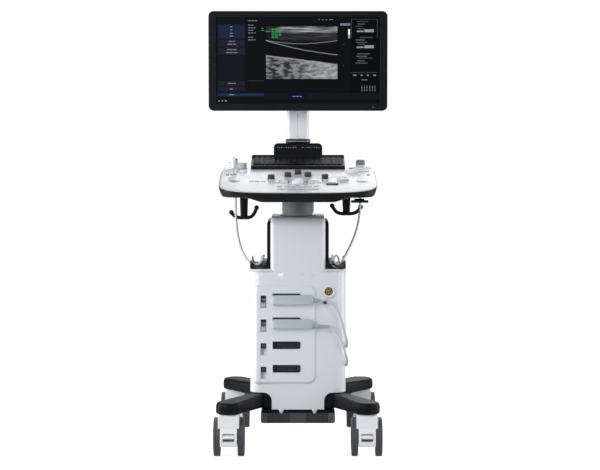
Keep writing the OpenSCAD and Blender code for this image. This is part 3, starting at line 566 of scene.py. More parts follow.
def screen():
    screen_tiles("panel", (0.0032, 0.0036, 0.0065), [(0.008, 0.0, 0.182, 0.93)], glow=0.8)
    screen_tiles("panel_right", (0.0016, 0.0017, 0.0024), [(0.822, 0.0, 0.996, 0.88)], glow=0.8)
    screen_tiles("blocks", (0.006, 0.0072, 0.012), [
        (0.012, 0.258, 0.176, 0.341), (0.012, 0.350, 0.176, 0.434),
        (0.012, 0.735, 0.176, 0.794), (0.012, 0.806, 0.176, 0.852)], 0.2)
    screen_tiles("active", (0.006, 0.009, 0.022), [(0.012, 0.084, 0.176, 0.244)], 0.2)
    screen_tiles("bars", (0.0035, 0.004, 0.007), [(0.296, 0.875, 0.996, 0.95)], 0.2)
    screen_tiles("blue", (0.005, 0.014, 0.036), [(0.008, 0.880, 0.293, 0.915)], 0.2)
    screen_tiles("navy", (0.002, 0.0025, 0.014), [(0.442, 0.868, 0.560, 0.942)], 0.4)
    screen_tiles("green", (0.012, 0.13, 0.045), [
        (0.340 + 0.021 * i, 0.132 + 0.030 * j, 0.356 + 0.021 * i, 0.152 + 0.030 * j)
        for i in range(3) for j in range(4) if i + j < 5] + [
        (0.278, 0.125, 0.290, 0.134), (0.278, 0.150, 0.296, 0.158), (0.302, 0.162, 0.330, 0.169)], 0.6)
    marks = []
    marks += words(0.195, 0.036, (0.018, 0.014, 0.016))
    for k in range(6):
        marks += words(0.197, 0.088 + 0.030 * k + (0.02 if k > 3 else 0), (0.014, 0.012, 0.010)[: 2 + k % 2])
    marks += words(0.624, 0.024, (0.008, 0.008, 0.008, 0.022), gap=0.014)
    marks += words(0.758, 0.070, (0.012, 0.012, 0.014, 0.012), 0.026, 0.003)
    for v, widths in ((0.105, (0.014,)), (0.142, (0.012,)), (0.182, (0.018,)), (0.212, (0.022,)),
                      (0.276, (0.020, 0.014)), (0.308, (0.030, 0.018)), (0.370, (0.034, 0.020)),
                      (0.404, (0.040, 0.024)), (0.760, (0.030, 0.014)), (0.826, (0.020,)),
                      (0.893, (0.026,))):
        marks += words(0.094 - sum(widths) / 2, v, widths, 0.009)
    marks += words(0.466, 0.912, (0.020, 0.016, 0.014))
    marks += words(0.014, 0.960, (0.008, 0.008, 0.012), 0.016, 0.012)
    marks += words(0.836, 0.662, (0.020, 0.012, 0.012, 0.018), 0.016, 0.026)
    marks += words(0.888, 0.720, (0.018, 0.014), 0.008)
    marks += [(0.886 + 0.016 * i, 0.795 + 0.017 * j, 0.893 + 0.016 * i, 0.801 + 0.017 * j)
              for i in range(6) for j in range(4)]
    marks += [(0.776, 0.310, 0.779, 0.316), (0.776, 0.552, 0.780, 0.558)]
    screen_tiles("marks", (0.11, 0.12, 0.145), marks, 0.6)
    screen_tiles("scale", (0.55, 0.56, 0.58), [(0.806, 0.139, 0.816, 0.200)], 0.4)
    screen_tiles("scale_mid", (0.20, 0.20, 0.21), [(0.806, 0.200, 0.816, 0.245)], 0.4)
    screen_tiles("frames", (0.05, 0.053, 0.062), [
        (0.824, 0.022, 0.826, 0.235), (0.982, 0.022, 0.984, 0.235), (0.824, 0.022, 0.984, 0.025),
        (0.824, 0.638, 0.984, 0.641), (0.192, 0.735, 0.2935, 0.738)], 0.4)
    grey, light = [], []
    for k in range(3):
        top = 0.045 + 0.185 * k
        for j in range(5):
            u = 0.848 + rng.uniform(0, 0.03)
            v = top + 0.026 * j + rng.uniform(0, 0.008)
            grey.append((u, v, u + rng.uniform(0.04, 0.085), v + rng.uniform(0.005, 0.014)))
        light.append((0.905, top + 0.095, 0.962, top + 0.128))
        light.append((0.858, top + 0.110, 0.9, top + 0.126))
    screen_tiles("thumbs", (0.05, 0.052, 0.06), grey, 0.4)
    screen_tiles("thumbs_light", (0.15, 0.155, 0.165), light[:-2], 0.6)
    x0, x1, z0, z1 = (v / MM for v in PICTURE)
    scan = box_mm("scan_picture", (x0, SCREEN_Y - 0.4, z0), (x1, SCREEN_Y - 0.1, z1), 0)
    ready(scan, picture_material(), "monitor", smooth=False)


def monitor():
    bezel = material("bezel_black", (0.0045, 0.0048, 0.006), 0.34, mottle=0.08, shine=0.2)
    refined("monitor_bezel", bezel, 0.0022, 4)
    refined("monitor_back", BLACK, 0.0025, 4)
    refined("screen_panel", material("panel_dark", (0.002, 0.0022, 0.003), 0.3, shine=0.12), 0.0008)
    screen()
    light = lathe("monitor_light", [(0.0, 0), (1.6, 0), (1.6, 0.6), (0, 0.6)], 20, axis="Y")
    light.data.transform(Matrix.Translation((0.225, 0.1096, 0.9872)) @ Matrix.Scale(MM, 4))
    ready(light, material("standby_green", (0.05, 0.2, 0.13), 0.3, glow=0.2), "monitor")
    vents = [box_mm(f"v{k}", (-100 + 10.5 * k, 164.6, 1120), (-95 + 10.5 * k, 166.0, 1200), 0.8 * MM)
             for k in range(20) if not 5 < k < 14]
    ready(join("monitor_vents", vents), RUBBER, "monitor")


def monitor_arm():
    half = corners(0.35, 178, 33.5, 212, [1.2, 9, 9, 1.2])
    for side, name in ((-1, "left"), (1, "right")):
        outline = [(side * u * MM, v * MM) for u, v in half]
        o = prism(f"arm_shell_{name}", outline, 0.8924, 1.082, "xy")
        ready(soften(o, 0.0012), ARM, "arm")
    core = prism("core", mm(corners(-33.1, 178.5, 33.1, 211.5, 8)), 0.8926, 1.0818, "xy")
    neck = prism("neck", mm(corners(-29.5, 178, 29.5, 207, 6)), 1.0816, 1.12, "xy")
    barrel = lathe("barrel", [(0, -29.5), (15.6, -29.5), (17, -28), (17, 28), (15.6, 29.5), (0, 29.5)],
                   64, axis="X")
    barrel.data.transform(Matrix.Translation((0, 0.19, TILT_Z * MM)) @ Matrix.Scale(MM, 4))
    spigot = lathe("spigot", [(0, 850), (20, 850), (20, 893), (0, 893)], 48)
    spigot.data.transform(Matrix.Translation((0, 0.195, 0)) @ Matrix.Scale(MM, 4))
    o = join("arm_core", [core, soften(neck, 0.002), barrel, spigot])
    soften(o, 0.0004, 2)
    ready(o, material("arm_inner", (0.32, 0.33, 0.35), 0.35, metal=0.4, grain=0.1), "arm")
    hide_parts("monitor_arm")
    pin = lathe("tilt_pin", [(0, -47), (7, -47), (8, -46), (8, 46), (7, 47), (0, 47)], 40, axis="X")
    pin.data.transform(Matrix.Translation((0, 0.19, TILT_Z * MM)) @ Matrix.Scale(MM, 4))
    ready(pin, STEEL, "arm")
    post = turned("arm_post", [(20.4, 850), (20.4, 803.2), (34, 803.2), (34, 878), (36, 880), (38, 882),
                               (38, 884.5), (37.2, 885), (37.2, 886.6), (38, 887), (38, 890.5),
                               (36.6, 892), (20.4, 892), (20.4, 850)], 96, (0, ARM_Y, 0))
    ready(post, BLACK, "console")
    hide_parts("arm_collar")
    band = turned("arm_band", [(36.9, 885.2), (37.6, 885.2), (37.6, 886.4), (36.9, 886.4)], 96,
                  (0, ARM_Y, 0))
    ready(band, ARM, "console")


monitor()
monitor_arm()

# ---------------------------------------------------------------- console

CONSOLE_HALF, CONSOLE_MID, CONSOLE_FRONT, CONSOLE_REAR = 225, -120, 265, 232
LIP_Z, DECK_Z, DECK_FRONT = 745, 803, 20
SLOPE = math.atan((DECK_Z - LIP_Z) / (CONSOLE_FRONT + DECK_FRONT))
ROUNDNESS = 2 / 4


def console_outline(inset, steps=144):
    """The console's outline, shrunk by an inset that may depend on the angle."""
    points = []
    for k in range(steps):
        a = 2 * math.pi * k / steps
        c, s = math.cos(a), math.sin(a)
        i = inset(s) if callable(inset) else inset
        deep = (CONSOLE_FRONT + CONSOLE_MID if s < 0 else CONSOLE_REAR - CONSOLE_MID) - i
        points.append(((CONSOLE_HALF - i) * math.copysign(abs(c) ** ROUNDNESS, c),
                       CONSOLE_MID + deep * math.copysign(abs(s) ** ROUNDNESS, s)))
    return points


def panel_z(y):
    return LIP_Z + (y + CONSOLE_FRONT) * math.tan(SLOPE) if y < DECK_FRONT else DECK_Z


def on_panel(o, x, y):
    """Moves a piece made round the origin, in millimetres, onto the control surface."""
    turn = Matrix.Rotation(SLOPE, 4, "X")
    o.data.transform(Matrix.Scale(MM, 4) @ Matrix.Translation((x, y, panel_z(y))) @ turn)
    return o


def keel_z(x):
    """The underside's height: low in the middle, higher towards both sides."""
    return 717 if abs(x) < 104 else min(729, 717 + (abs(x) - 104) * 0.32)


def console_shell():
    """The black lower shell: deep in the middle, drawn in towards its underside."""
    rows = []
    for share, extra in ((0.0, 0.3), (0.02, -0.8), (0.10, -1.0), (0.5, 2.0), (0.85, 7.0), (0.96, 10.5),
                         (1.0, 15.0)):
        ring = []
        for x, y in console_outline(extra):
            top = panel_z(y) - 1.8
            pull = 1 - 0.10 * share * max(0, (y - 20) / 210)
            z = top + (keel_z(x) - top) * share
            ring.append((x * pull * MM, (y * pull if y > 20 else y) * MM, z * MM))
        rows.append(ring)
    for s in (0.9, 0.8, 0.7, 0.6, 0.5, 0.25, 0.02):
        ring = []
        for x, y, _ in rows[6]:
            x, y = x / MM * s, CONSOLE_MID + (y / MM - CONSOLE_MID) * s
            ring.append((x * MM, y * MM, keel_z(x) * MM))
        rows.append(ring)
    o = loft("console_shell", rows)
    holes = []
    for side in (-1, 1):
        hole = turned("hole", [(0, 690), (9, 690), (9, 815), (0, 815)], 32, (side * PROBE_X, PROBE_Y, 0))
        holes.append(hole)
    inner = loft("inner", [[(x * 0.975 * MM, y * 0.972 * MM, z * MM) for x, y, z in
                            [(x, y, panel_z(y) + 20 if k else max(733, panel_z(y) - 65))
                             for x, y in console_outline(3 if k else 14)]] for k in range(2)])
    cut(o, [inner, *holes])
    soften(o, 0.0006, 2, 40)
    ready(o, BLACK, "console")
    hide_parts("console_base")


def console_deck():
    source = frame["nodes"]["console_top"]
    bm = bmesh.new()
    bm.from_mesh(source.data)
    bmesh.ops.remove_doubles(bm, verts=bm.verts, dist=2e-6)
    bmesh.ops.dissolve_limit(bm, angle_limit=math.radians(0.6), verts=bm.verts, edges=bm.edges)
    power = 1 / ROUNDNESS * 2

    def on_rim(v):
        x, y, z = (c / MM for c in v.co)
        deep = CONSOLE_FRONT + CONSOLE_MID if y < CONSOLE_MID else CONSOLE_REAR - CONSOLE_MID
        f = abs(x / CONSOLE_HALF) ** power + abs((y - CONSOLE_MID) / deep) ** power
        return 0.985 < f < 1.02 and z > panel_z(y) - 0.4

    rim = [e for e in bm.edges if on_rim(e.verts[0]) and on_rim(e.verts[1]) and e.calc_face_angle(0) > 0.6]
    bmesh.ops.bevel(bm, geom=rim, offset=0.0042, segments=5, profile=0.5, affect="EDGES")
    o = new_object("console_deck", bm)
    o.data.set_sharp_from_angle(angle=math.radians(11))
    soften(o, 0.0006, 2).modifiers["normals"].keep_sharp = True
    ready(o, DECK, "console")
    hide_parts("console_top")


def ring_piece(name, r_out, r_in, height, mat, x, y, low=0.1, arc_deg=360, start=0, width=0.5):
    n = 64
    outer = arc(0, 0, r_out, start, start + arc_deg, n)
    inner = arc(0, 0, r_in, start + arc_deg, start, n)
    if arc_deg == 360:
        o = lathe(name, [(r_in, low), (r_out, low), (r_out, low + height * 0.6),
                         (r_out - width, low + height),
                         (r_in + width, low + height), (r_in, low + height * 0.6), (r_in, low)], n)
    else:
        o = prism(name, outer + inner, low, low + height, "xy")
    on_panel(o, x, y)
    return ready(soften(o, 0.0003, 2), mat, "console")


def knob(n, x, y):
    """A soft-touch knob with a knurled skirt and a lighter pointer."""
    rings = []
    for r, h in ((9.6, 0.5), (10.5, 1.4), (10.5, 2.2), (9.6, 3.0), (9.4, 11.6), (8.6, 12.8), (7.2, 13.2),
                 (6.2, 12.6), (0.01, 12.4)):
        flute = 0.35 if 3.0 <= h <= 11.6 and r < 10 and r > 9 else 0
        rings.append([((r + flute * math.cos(24 * a)) * math.cos(a),
                       (r + flute * math.cos(24 * a)) * math.sin(a), h)
                      for a in [2 * math.pi * k / 144 for k in range(144)]])
    o = loft(f"knob_{n}_shape", rings)
    on_panel(o, x, y)
    ready(soften(o, 0.0002, 2, 50), KNOB, f"knob_{n}")
    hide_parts(f"knob_{n}")
    dot = prism(f"knob_{n}_mark", corners(-0.6, 3.0, 0.6, 6.4, 0.5, 3), 12.4, 12.9, "xy")
    ready(on_panel(dot, x, y), LEGEND, f"knob_{n}")


def controls():
    for n, (x, y) in enumerate(((-77, -101), (-29, -71), (0, -40), (29, -71), (78, -97)), 1):
        ring_piece(f"knob_{n}_seat", 13.5, 10.9, 0.5, CAP, x, y)
        knob(n, x, y)
    refined("trackball", BALL, 0)
    seat = lathe("trackball_seat", [(21.0, 0.15), (30, 0.15), (30, 0.9), (28.6, 2.4), (24.2, 3.2),
                                    (22.0, 2.6), (21.0, 1.2), (21.0, 0.15)], 96)
    ready(on_panel(seat, 0, -150), DECK, "console")
    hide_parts("trackball_ring")
    for side, start in ((-1, 150), (1, -30)):
        o = prism(f"trackball_mark_{'left' if side < 0 else 'right'}",
                  arc(0, 0, 29.0, start, start + 60, 24) + arc(0, 0, 25.4, start + 60, start, 24),
                  2.2, 3.6, "xy")
        ready(soften(on_panel(o, 0, -150), 0.0004, 2), KNOB, "console")
    pill = prism("freeze_shape", corners(-16.5, -10.5, 16.5, 10.5, 9.5), -4, 2.8, "xy")
    ready(soften(on_panel(pill, 98, -164), 0.0012, 4), KNOB, "freeze")
    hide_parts("freeze_button")
    refined("console_buttons", BUTTON, 0.0007, 3)
    dial = lathe("gain_dial_shape", [(0.01, 5.4), (9, 5.2), (12, 6.6), (13, 7.4), (15, 7.4), (16.2, 6.2),
                                     (16.4, 0.6), (0.01, 0.6)], 96)
    ready(soften(on_panel(dial, 129, -115), 0.0003, 2), BUTTON, "dial")
    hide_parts("gain_dial")
    ring_piece("gain_dial_seat", 19.2, 16.9, 0.7, DECK, 129, -115)
    prints = []
    for side in (-1, 1):
        for k, (x, y, w) in enumerate(((52, -58, 20), (100, -66, 14), (112, -82, 16), (60, -88, 8),
                                       (168, -60, 12))):
            if side < 0 and k in (1, 2):
                continue
            o = prism("p", corners(-w, -0.5, w, 0.5, 0.4, 3), 0.05, 0.2, "xy")
            prints.append(on_panel(o, side * x, y))
    for y in (-86, -70, -54):
        prints.append(on_panel(prism("p", corners(-9, -0.4, 9, 0.4, 0.3, 3), 0.05, 0.2, "xy"), 178, y))
    ready(join("console_prints", prints), PRINT, "console")
    recess = []
    for x, y, w, h in ((-205, -48, 5, 9), (205, -48, 5, 9), (-184, -142, 6, 2.2)):
        recess.append(on_panel(prism("r", corners(-w, -h, w, h, min(w, h) * 0.8, 5), 0.05, 0.6, "xy"), x, y))
    ready(join("console_recesses", recess), material("recess_grey", (0.22, 0.225, 0.24), 0.5), "console")
    pads = []
    for x, y, w, h in ((-184, -110, 16, 30), (184, -120, 16, 26), (0, -222, 60, 9)):
        pads.append(soften(on_panel(prism("d", corners(-w, -h, w, h, min(w, h) * 0.9), 0.05, 1.0, "xy"), x,
                                    y),
                           0.0007, 3))
    ready(join("console_pads", pads), DECK, "console")
    usb = soften(on_panel(prism("console_pads_slot", corners(-7, -2.2, 7, 2.2, 0.8), 0.9, 1.5, "xy"), -184,
                          -128),
                 0.0002, 2)
    ready(usb, SOCKET, "console")


def keyboard():
    refined("keyboard_tray", BLACK, 0.0020, 4)
    refined("keyboard_keys", KEY, 0.0006, 2)
    ridge = prism("keyboard_ridge", mm(corners(-139, 806, 139, 845, 5)), 0.1206, 0.1254)
    ready(soften(ridge, 0.0012, 3), BLACK, "console")
    pitch_x, pitch_y = 262 / 16, 16
    turn = Matrix.Translation((0, 26, 814.5)) @ Matrix.Rotation(math.atan(24.5 / 96), 4, "X")
    marks = []
    for row in range(5):
        for column in range(16):
            if row == 0 and 4 <= column <= 10 or (3 * row + 5 * column) % 4 == 0:
                continue
            x = -131 + column * pitch_x + rng.uniform(3.2, 5.0)
            y = 10 + row * pitch_y + rng.uniform(7.5, 10.5)
            w, h = rng.uniform(1.6, 3.4), rng.uniform(1.0, 1.8)
            o = prism("m", corners(x, y, x + w, y + h, 0.3, 2), 2.78, 2.9, "xy")
            o.data.transform(Matrix.Scale(MM, 4) @ turn)
            marks.append(o)
    ready(join("key_marks", marks), KEY_PRINT, "keys")


def menu_display():
    side_face = [(127, 803.2), (127, 841), (129, 845), (145, 877.5), (148, 880), (154, 880), (156, 878),
                 (156, 803.2)]
    o = prism("menu_display_shape", mm(side_face), -0.073, 0.073, "yz")
    frame_cut = prism("frame", mm(corners(-73, 800, 73, 880, [1, 1, 13, 13])), 0.10, 0.17, "xz")
    cut(o, [frame_cut], "INTERSECT")
    ready(soften(o, 0.0014, 4), GLOSS, "console")
    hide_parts("menu_display")
    lean = math.atan2(16, 32.5)
    marks = []
    for k in range(19):
        if k in (9, 10):
            continue
        x = -63 + 7 * k
        tall = 1.1 + 1.2 * ((k * 7) % 3) / 2
        m = prism("i", corners(x - 1.3, -tall / 2, x + 1.3, tall / 2, 0.4, 3), -0.15, 0.2, "xz")
        m.data.transform(Matrix.Scale(MM, 4) @ Matrix.Translation((0, 139.75, 867)) @ Matrix.Rotation(-lean,
                                                                                                      4,
                                                                                                      "X"))
        marks.append(m)
    ready(join("menu_marks", marks), LEGEND, "console")


def holders():
    for side, name, top, mat in ((-1, "left", 822, CUP), (1, "right", 808, PALE_GREY_AND_PAINTED_HIGHLIGHT)):
        cup = turned(f"holder_cup_{name}", [
             (5.2, 742), (29.4, 742), (29.8, 744), (29.8, 802.6), (35.2, 803.3), (35.6, 804.4), (34.2, 806),
             (33.2, 806.6), (33.0, top - 1), (32.2, top), (31.0, top), (30.4, top - 1), (27.6, 801),
             (27.4, 747), (5.2, 746), (5.2, 742)], 96, (side * PROBE_X, PROBE_Y, 0))
        ready(cup, mat, "console")
        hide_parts(f"holder_{name}")
    for x, y, r in ((159, -6, 17), (-160, -6, 9)):
        z = panel_z(y)
        pocket = turned(f"pocket_{'right' if x > 0 else 'left'}", [
             (0.01, z - 42), (r + 1.6, z - 42), (r + 2, z - 41), (r + 2, z + 3.4), (r + 1.5, z + 4),
             (r + 0.4, z + 3.6), (r, z + 2.8), (r, z - 38), (0.01, z - 38.6)], 72, (x, y, 0))
        ready(pocket, PALE_GREY_AND_PAINTED_HIGHLIGHT if x > 0 else CUP, "console")
    handle = loft("left_handle", [oval(-190, 44, z, a, b) for z, a, b in (
        (790, 6.2, 6.2), (806, 6.6, 6.6), (826, 5.6, 5.6), (836, 5.2, 5.2), (839, 4.4, 4.4),
        (840.4, 2.4, 2.4))])
    ready(soften(handle, 0.0003, 2, 60), PROBE, "console")
    foot = on_panel(prism("left_handle_foot", corners(-9, -46, 9, 30, 8), 0.05, 4.5, "xy"), -188, -2)
    ready(soften(foot, 0.0022, 4), DECK, "console")
    # a shallow finger rest beside the right cup
    rest = on_panel(prism("right_rest", corners(-24, -9, 24, 9, 8), 0.05, 1.6, "xy"), 186, 6)
    ready(soften(rest, 0.0008, 3), CAP, "console")


def oval(x, y, z, half_x, half_y, power=2.6, n=48):
    ring = []
    for k in range(n):
        a = 2 * math.pi * k / n
        c, s = math.cos(a), math.sin(a)
        ring.append(((x + half_x * math.copysign(abs(c) ** (2 / power), c)) * MM,
                     (y + half_y * math.copysign(abs(s) ** (2 / power), s)) * MM, z * MM))
    return ring


def probes():
    x = -PROBE_X
    body = loft("probe_left_body", [oval(x, 80, z, a, b) for z, a, b in (
        (756, 5.6, 6.4), (760, 7.4, 9), (768, 8.4, 11.5), (784, 8.6, 12.6), (800, 7.6, 14), (812, 7.2, 18),
        (820, 7.2, 22), (828, 7.0, 23.4), (830.5, 6.4, 23))])
    ready(soften(body, 0.0003, 2, 60), PROBE, "console")
    lens = loft("probe_left_lens", [oval(x, 80, z, a, b, 3.4) for z, a, b in (
        (830, 6.5, 22.6), (833, 6.2, 22.2), (834.6, 4.6, 20.6), (835.2, 2.4, 18))])
    ready(lens, PROBE_CAP, "console")
    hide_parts("probe_left")
    x = PROBE_X
    body = loft("probe_right_body", [oval(x, 80, z, a, b) for z, a, b in (
        (756, 5.8, 6.6), (760, 8.5, 9.5), (770, 10.4, 12), (786, 11.6, 14), (800, 12.4, 18), (810, 13.0, 22),
        (816, 13.2, 23.4))])
    ready(soften(body, 0.0003, 2, 60), PROBE, "console")
    cap = loft("probe_right_cap", [oval(x, 80, z, a, b, 3.6) for z, a, b in (
        (815.8, 13.1, 23.2), (818, 13.4, 23.4), (824, 13.2, 21.5), (828.6, 12.4, 18), (831, 10.4, 13.4),
        (831.8, 7.0, 8.0))])
    ready(cap, PROBE_CAP, "console")
    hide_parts("probe_right")
    for side, name in ((-1, "left"), (1, "right")):
        profile = [(0.01, 744.05), (3.9, 744.05), (4.2, 745)]
        for k in range(4):
            z = 746 + 2.6 * k
            profile += [(4.3 + 0.4 * k, z), (4.9 + 0.4 * k, z + 0.5), (4.9 + 0.4 * k, z + 1.5),
                        (4.3 + 0.4 * k, z + 2.0)]
        profile += [(6.2, 758), (0.01, 758)]
        relief = turned(f"probe_relief_{name}", profile, 32, (side * PROBE_X, PROBE_Y, 0))
        ready(relief, RUBBER, "console")


def hangers():
    shapes = []
    for name, x0, bottom, span, tip_l, tip_r in (("left", -163, 650, 86, 16, 30),
                                                 ("right", 146, 662, 96, 24, 20)):
        stem = loft(f"stem_{name}", [
            [(u, v, z * MM) for u, v in corners((x0 - w) * MM, 130 * MM, (x0 + w) * MM, 143 * MM, 0.004, 5)]
            for z, w in ((bottom + 3, 10.5), (bottom + 22, 11), (700, 12), (723.8, 12.6))])
        path = []
        r = span / 2 - 5
        for k in range(25):
            t = -1 + 2 * k / 24
            rise = (tip_l if t < 0 else tip_r) * abs(t) ** 4
            path.append(Vector(((x0 + r * t) * MM, 136.5 * MM, (bottom + 5.5 + rise) * MM)))
        section = [(a * MM, b * MM) for a, b in corners(-6.2, -5.4, 6.2, 5.4, 4.4)]
        arm = sweep(f"arm_{name}", path, section)
        balls = []
        for p in (path[0], path[-1]):
            ball = lathe("b", [(0.01, -6.8), (5.0, -6.4), (7.0, -4.0), (7.6, 0), (7.0, 4.0), (5.0, 6.4),
                               (0.01, 6.8)],
                         28, axis="Y")
            ball.data.transform(Matrix.Translation(p) @ Matrix.Scale(MM * 0.98, 4))
            balls.append(ball)
        rib = box_mm("rib", (x0 - 5, 128.6, bottom + 16), (x0 - 3.4, 130.6, 722), 0.0005)
        shapes += [stem, arm, *balls, rib]
    o = join("hanger_shapes", shapes)
    soften(o, 0.0005, 2, 50)
    ready(o, BLACK, "console")
    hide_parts("cable_hooks")


def lift():
    neck = turned("neck_tube", [(42.6, 338), (42.6, 330), (46.5, 330), (46.5, 716), (0.01, 716), (0.01, 700),
                                (42.6, 700), (42.6, 338)], 128, (0, LIFT_Y, 0))
    ready(neck, NECK, "console")
    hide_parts("lift_column")
    flange = turned("neck_flange", [(46.7, 710), (52, 710), (54, 712), (54, 716), (46.7, 716), (46.7, 710)],
                    96,
                    (0, LIFT_Y, 0))
    ready(flange, BLACK, "console")
    refined("release_lever", BLACK, 0.0016, 3)


console_shell()
console_deck()
controls()
keyboard()
menu_display()
holders()
probes()
hangers()
lift()

# ---------------------------------------------------------------- body

BODY_HALF, TORSO_HALF = 138, 79
BODY_FRONT, BODY_REAR, SHOULDER = -130, 150, 520
TORSO_FRONT, TORSO_REAR = -130.15, 130
NOTCH_Z, SKIRT_Z, SKIRT_HALF = 163, 114, 75.6


def body_outline(inset, half=BODY_HALF, front=BODY_FRONT, rear=BODY_REAR, r_front=30, r_rear=24, bow=4.5):
    a, f, b = half - inset, front + inset, rear - inset
    points = []
    for x, y in corners(-a, f, a, b, [max(2, r_front - inset), max(2, r_front - inset),
                                      max(2, r_rear - inset), max(2, r_rear - inset)], 12):
        points.append((x, y))
    edge = []
    for k, p in enumerate(points):
        q = points[(k + 1) % len(points)]
        steps = 14 if k % 13 == 12 else 1
        for j in range(steps):
            t = j / steps
            x, y = p[0] + (q[0] - p[0]) * t, p[1] + (q[1] - p[1]) * t
            if y < front + 40:
                y += bow * (x / half) ** 2
            edge.append((x, y))
    return edge


def split_cover(o, name_front, name_rear):
    """Cuts a shell along the seam between the front and rear covers."""
    halves = []
    for name, y, normal in ((name_front, 9.7 * MM, 1), (name_rear, 10.3 * MM, -1)):
        bm = bmesh.new()
        bm.from_mesh(o.data)
        bmesh.ops.bisect_plane(bm, geom=[*bm.verts, *bm.edges, *bm.faces], plane_co=(0, y, 0),
                               plane_no=(0, normal, 0), clear_outer=True)
        rim = [e for e in bm.edges if e.is_boundary]
        bmesh.ops.triangle_fill(bm, edges=rim, use_beauty=True)
        halves.append(new_object(name, bm))
    bpy.data.objects.remove(o)
    return halves


def hollow(name, rows_of):
    """A closed shell: the outside form less the same form set in by the wall."""
    return cut(loft(name, rows_of(0)), [loft("core", rows_of(3))])


def lower_rows(wall):
    levels = [(SKIRT_Z - wall, 0.6), (SKIRT_Z + 1.5, 0)] + [(z, 0) for z in range(130, 515, 24)]
    levels += [(SHOULDER - 8 + 8 * math.sin(a) - wall, 8 * (1 - math.cos(a)))
               for a in [math.radians(15 * k) for k in range(7)]]
    return [[(x * MM, y * MM, z * MM) for x, y in body_outline(inset + wall)] for z, inset in levels]


def torso_rows(wall):
    rows = [(z, 0) for z in [SHOULDER - 16, SHOULDER - 12, SHOULDER - 10, *range(SHOULDER, 636, 20)]]
    rows += [(640 + 28 * math.sin(a),
              28 * (1 - math.cos(a))) for a in [math.radians(9 * k) for k in range(11)]]
    rings = []
    for z, roll in rows:
        ring = []
        for x, y in body_outline(wall, TORSO_HALF, TORSO_FRONT, TORSO_REAR, 12, 10, 1.475):
            squeeze = (TORSO_HALF - roll * 0.12) / TORSO_HALF
            back = roll * min(1, -y / 60) if y < 0 else -roll * 0.25 * min(1, y / 60)
            back += 1.2 if z < SHOULDER - 14 and y < 0 else 0
            ring.append((x * squeeze * MM, (y + back) * MM, (z - wall * (z > 600)) * MM))
        rings.append(ring)
    return rings


def body_covers():
    lower = hollow("lower", lower_rows)
    front, rear = split_cover(lower, "front_cover_lower", "rear_cover_lower")
    arches = []
    for side in (-1, 1):
        shape = [(SKIRT_HALF, 100), (160, 100), (160, NOTCH_Z), *arc(SKIRT_HALF + 24, NOTCH_Z - 24, 24, 90,
                                                                     180, 10)]
        arches.append(mm([(side * u, v) for u, v in shape]))
    torso_holes = [prism("torso_hole", mm(corners(-72, -118, 72, 122, 6)), 0.505, 0.53,
                         "xy") for _ in range(2)]
    window = prism("window", mm(corners(-121.8, 198.2, 44.8, 463.8, 10)), -0.14, -0.115)
    jack_holes = []
    for x, z, r in ((PORT_X, PORT_Z, 15.7), (JACK_X, JACK_Z, 5.8)):
        jack = turned("jack", [(0.01, -140), (r, -140), (r, -115), (0.01, -115)], 40, (x, 0, z), "Y")
        jack_holes.append(jack)
    cut(front, [prism("arch", a, -0.2, 0.2) for a in arches] + [torso_holes[0], window, *jack_holes])
    vents = [prism(f"v{i}", mm(corners(-70, 196 + 12 * i, 70, 202 + 12 * i, 2.9)), 0.14,
                   0.16) for i in range(10)]
    inlet = prism("inlet", mm(corners(-102, 176, -76, 210, 3)), 0.14, 0.16)
    cut(rear, [prism("arch", a, -0.2, 0.2) for a in arches] + [torso_holes[1], join("vents", vents), inlet])
    for o, cover in ((front, "front_cover"), (rear, "rear_cover")):
        ready(soften(o, 0.0009, 3, 40), WHITE, "base")
        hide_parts(cover)

    front, rear = split_cover(hollow("torso", torso_rows), "front_cover_torso", "rear_cover_torso")
    caps = [prism("cap_hole", mm(corners(-75.8, -92, 75.8, 121.8, 5)), 0.655, 0.70, "xy") for _ in range(2)]
    back_vents = [prism(f"w{i}", mm(corners(-40, 560 + 12 * i, 40, 566 + 12 * i, 2.9)), 0.12,
                        0.14) for i in range(6)]
    cut(front, [caps[0]])
    cut(rear, [caps[1], join("back_vents", back_vents)])
    for o in (front, rear):
        ready(soften(o, 0.0006, 2, 45), WHITE, "base")
    refined("top_cap", CAP, 0.0008, 3)
    seal = turned("column_seal", [(47.2, 666.8), (52.5, 666.8), (53, 668.4), (51, 669.4), (47.2, 669.0),
                                  (47.2, 666.8)],
                  96, (0, LIFT_Y, 0))
    ready(seal, RUBBER, "base")


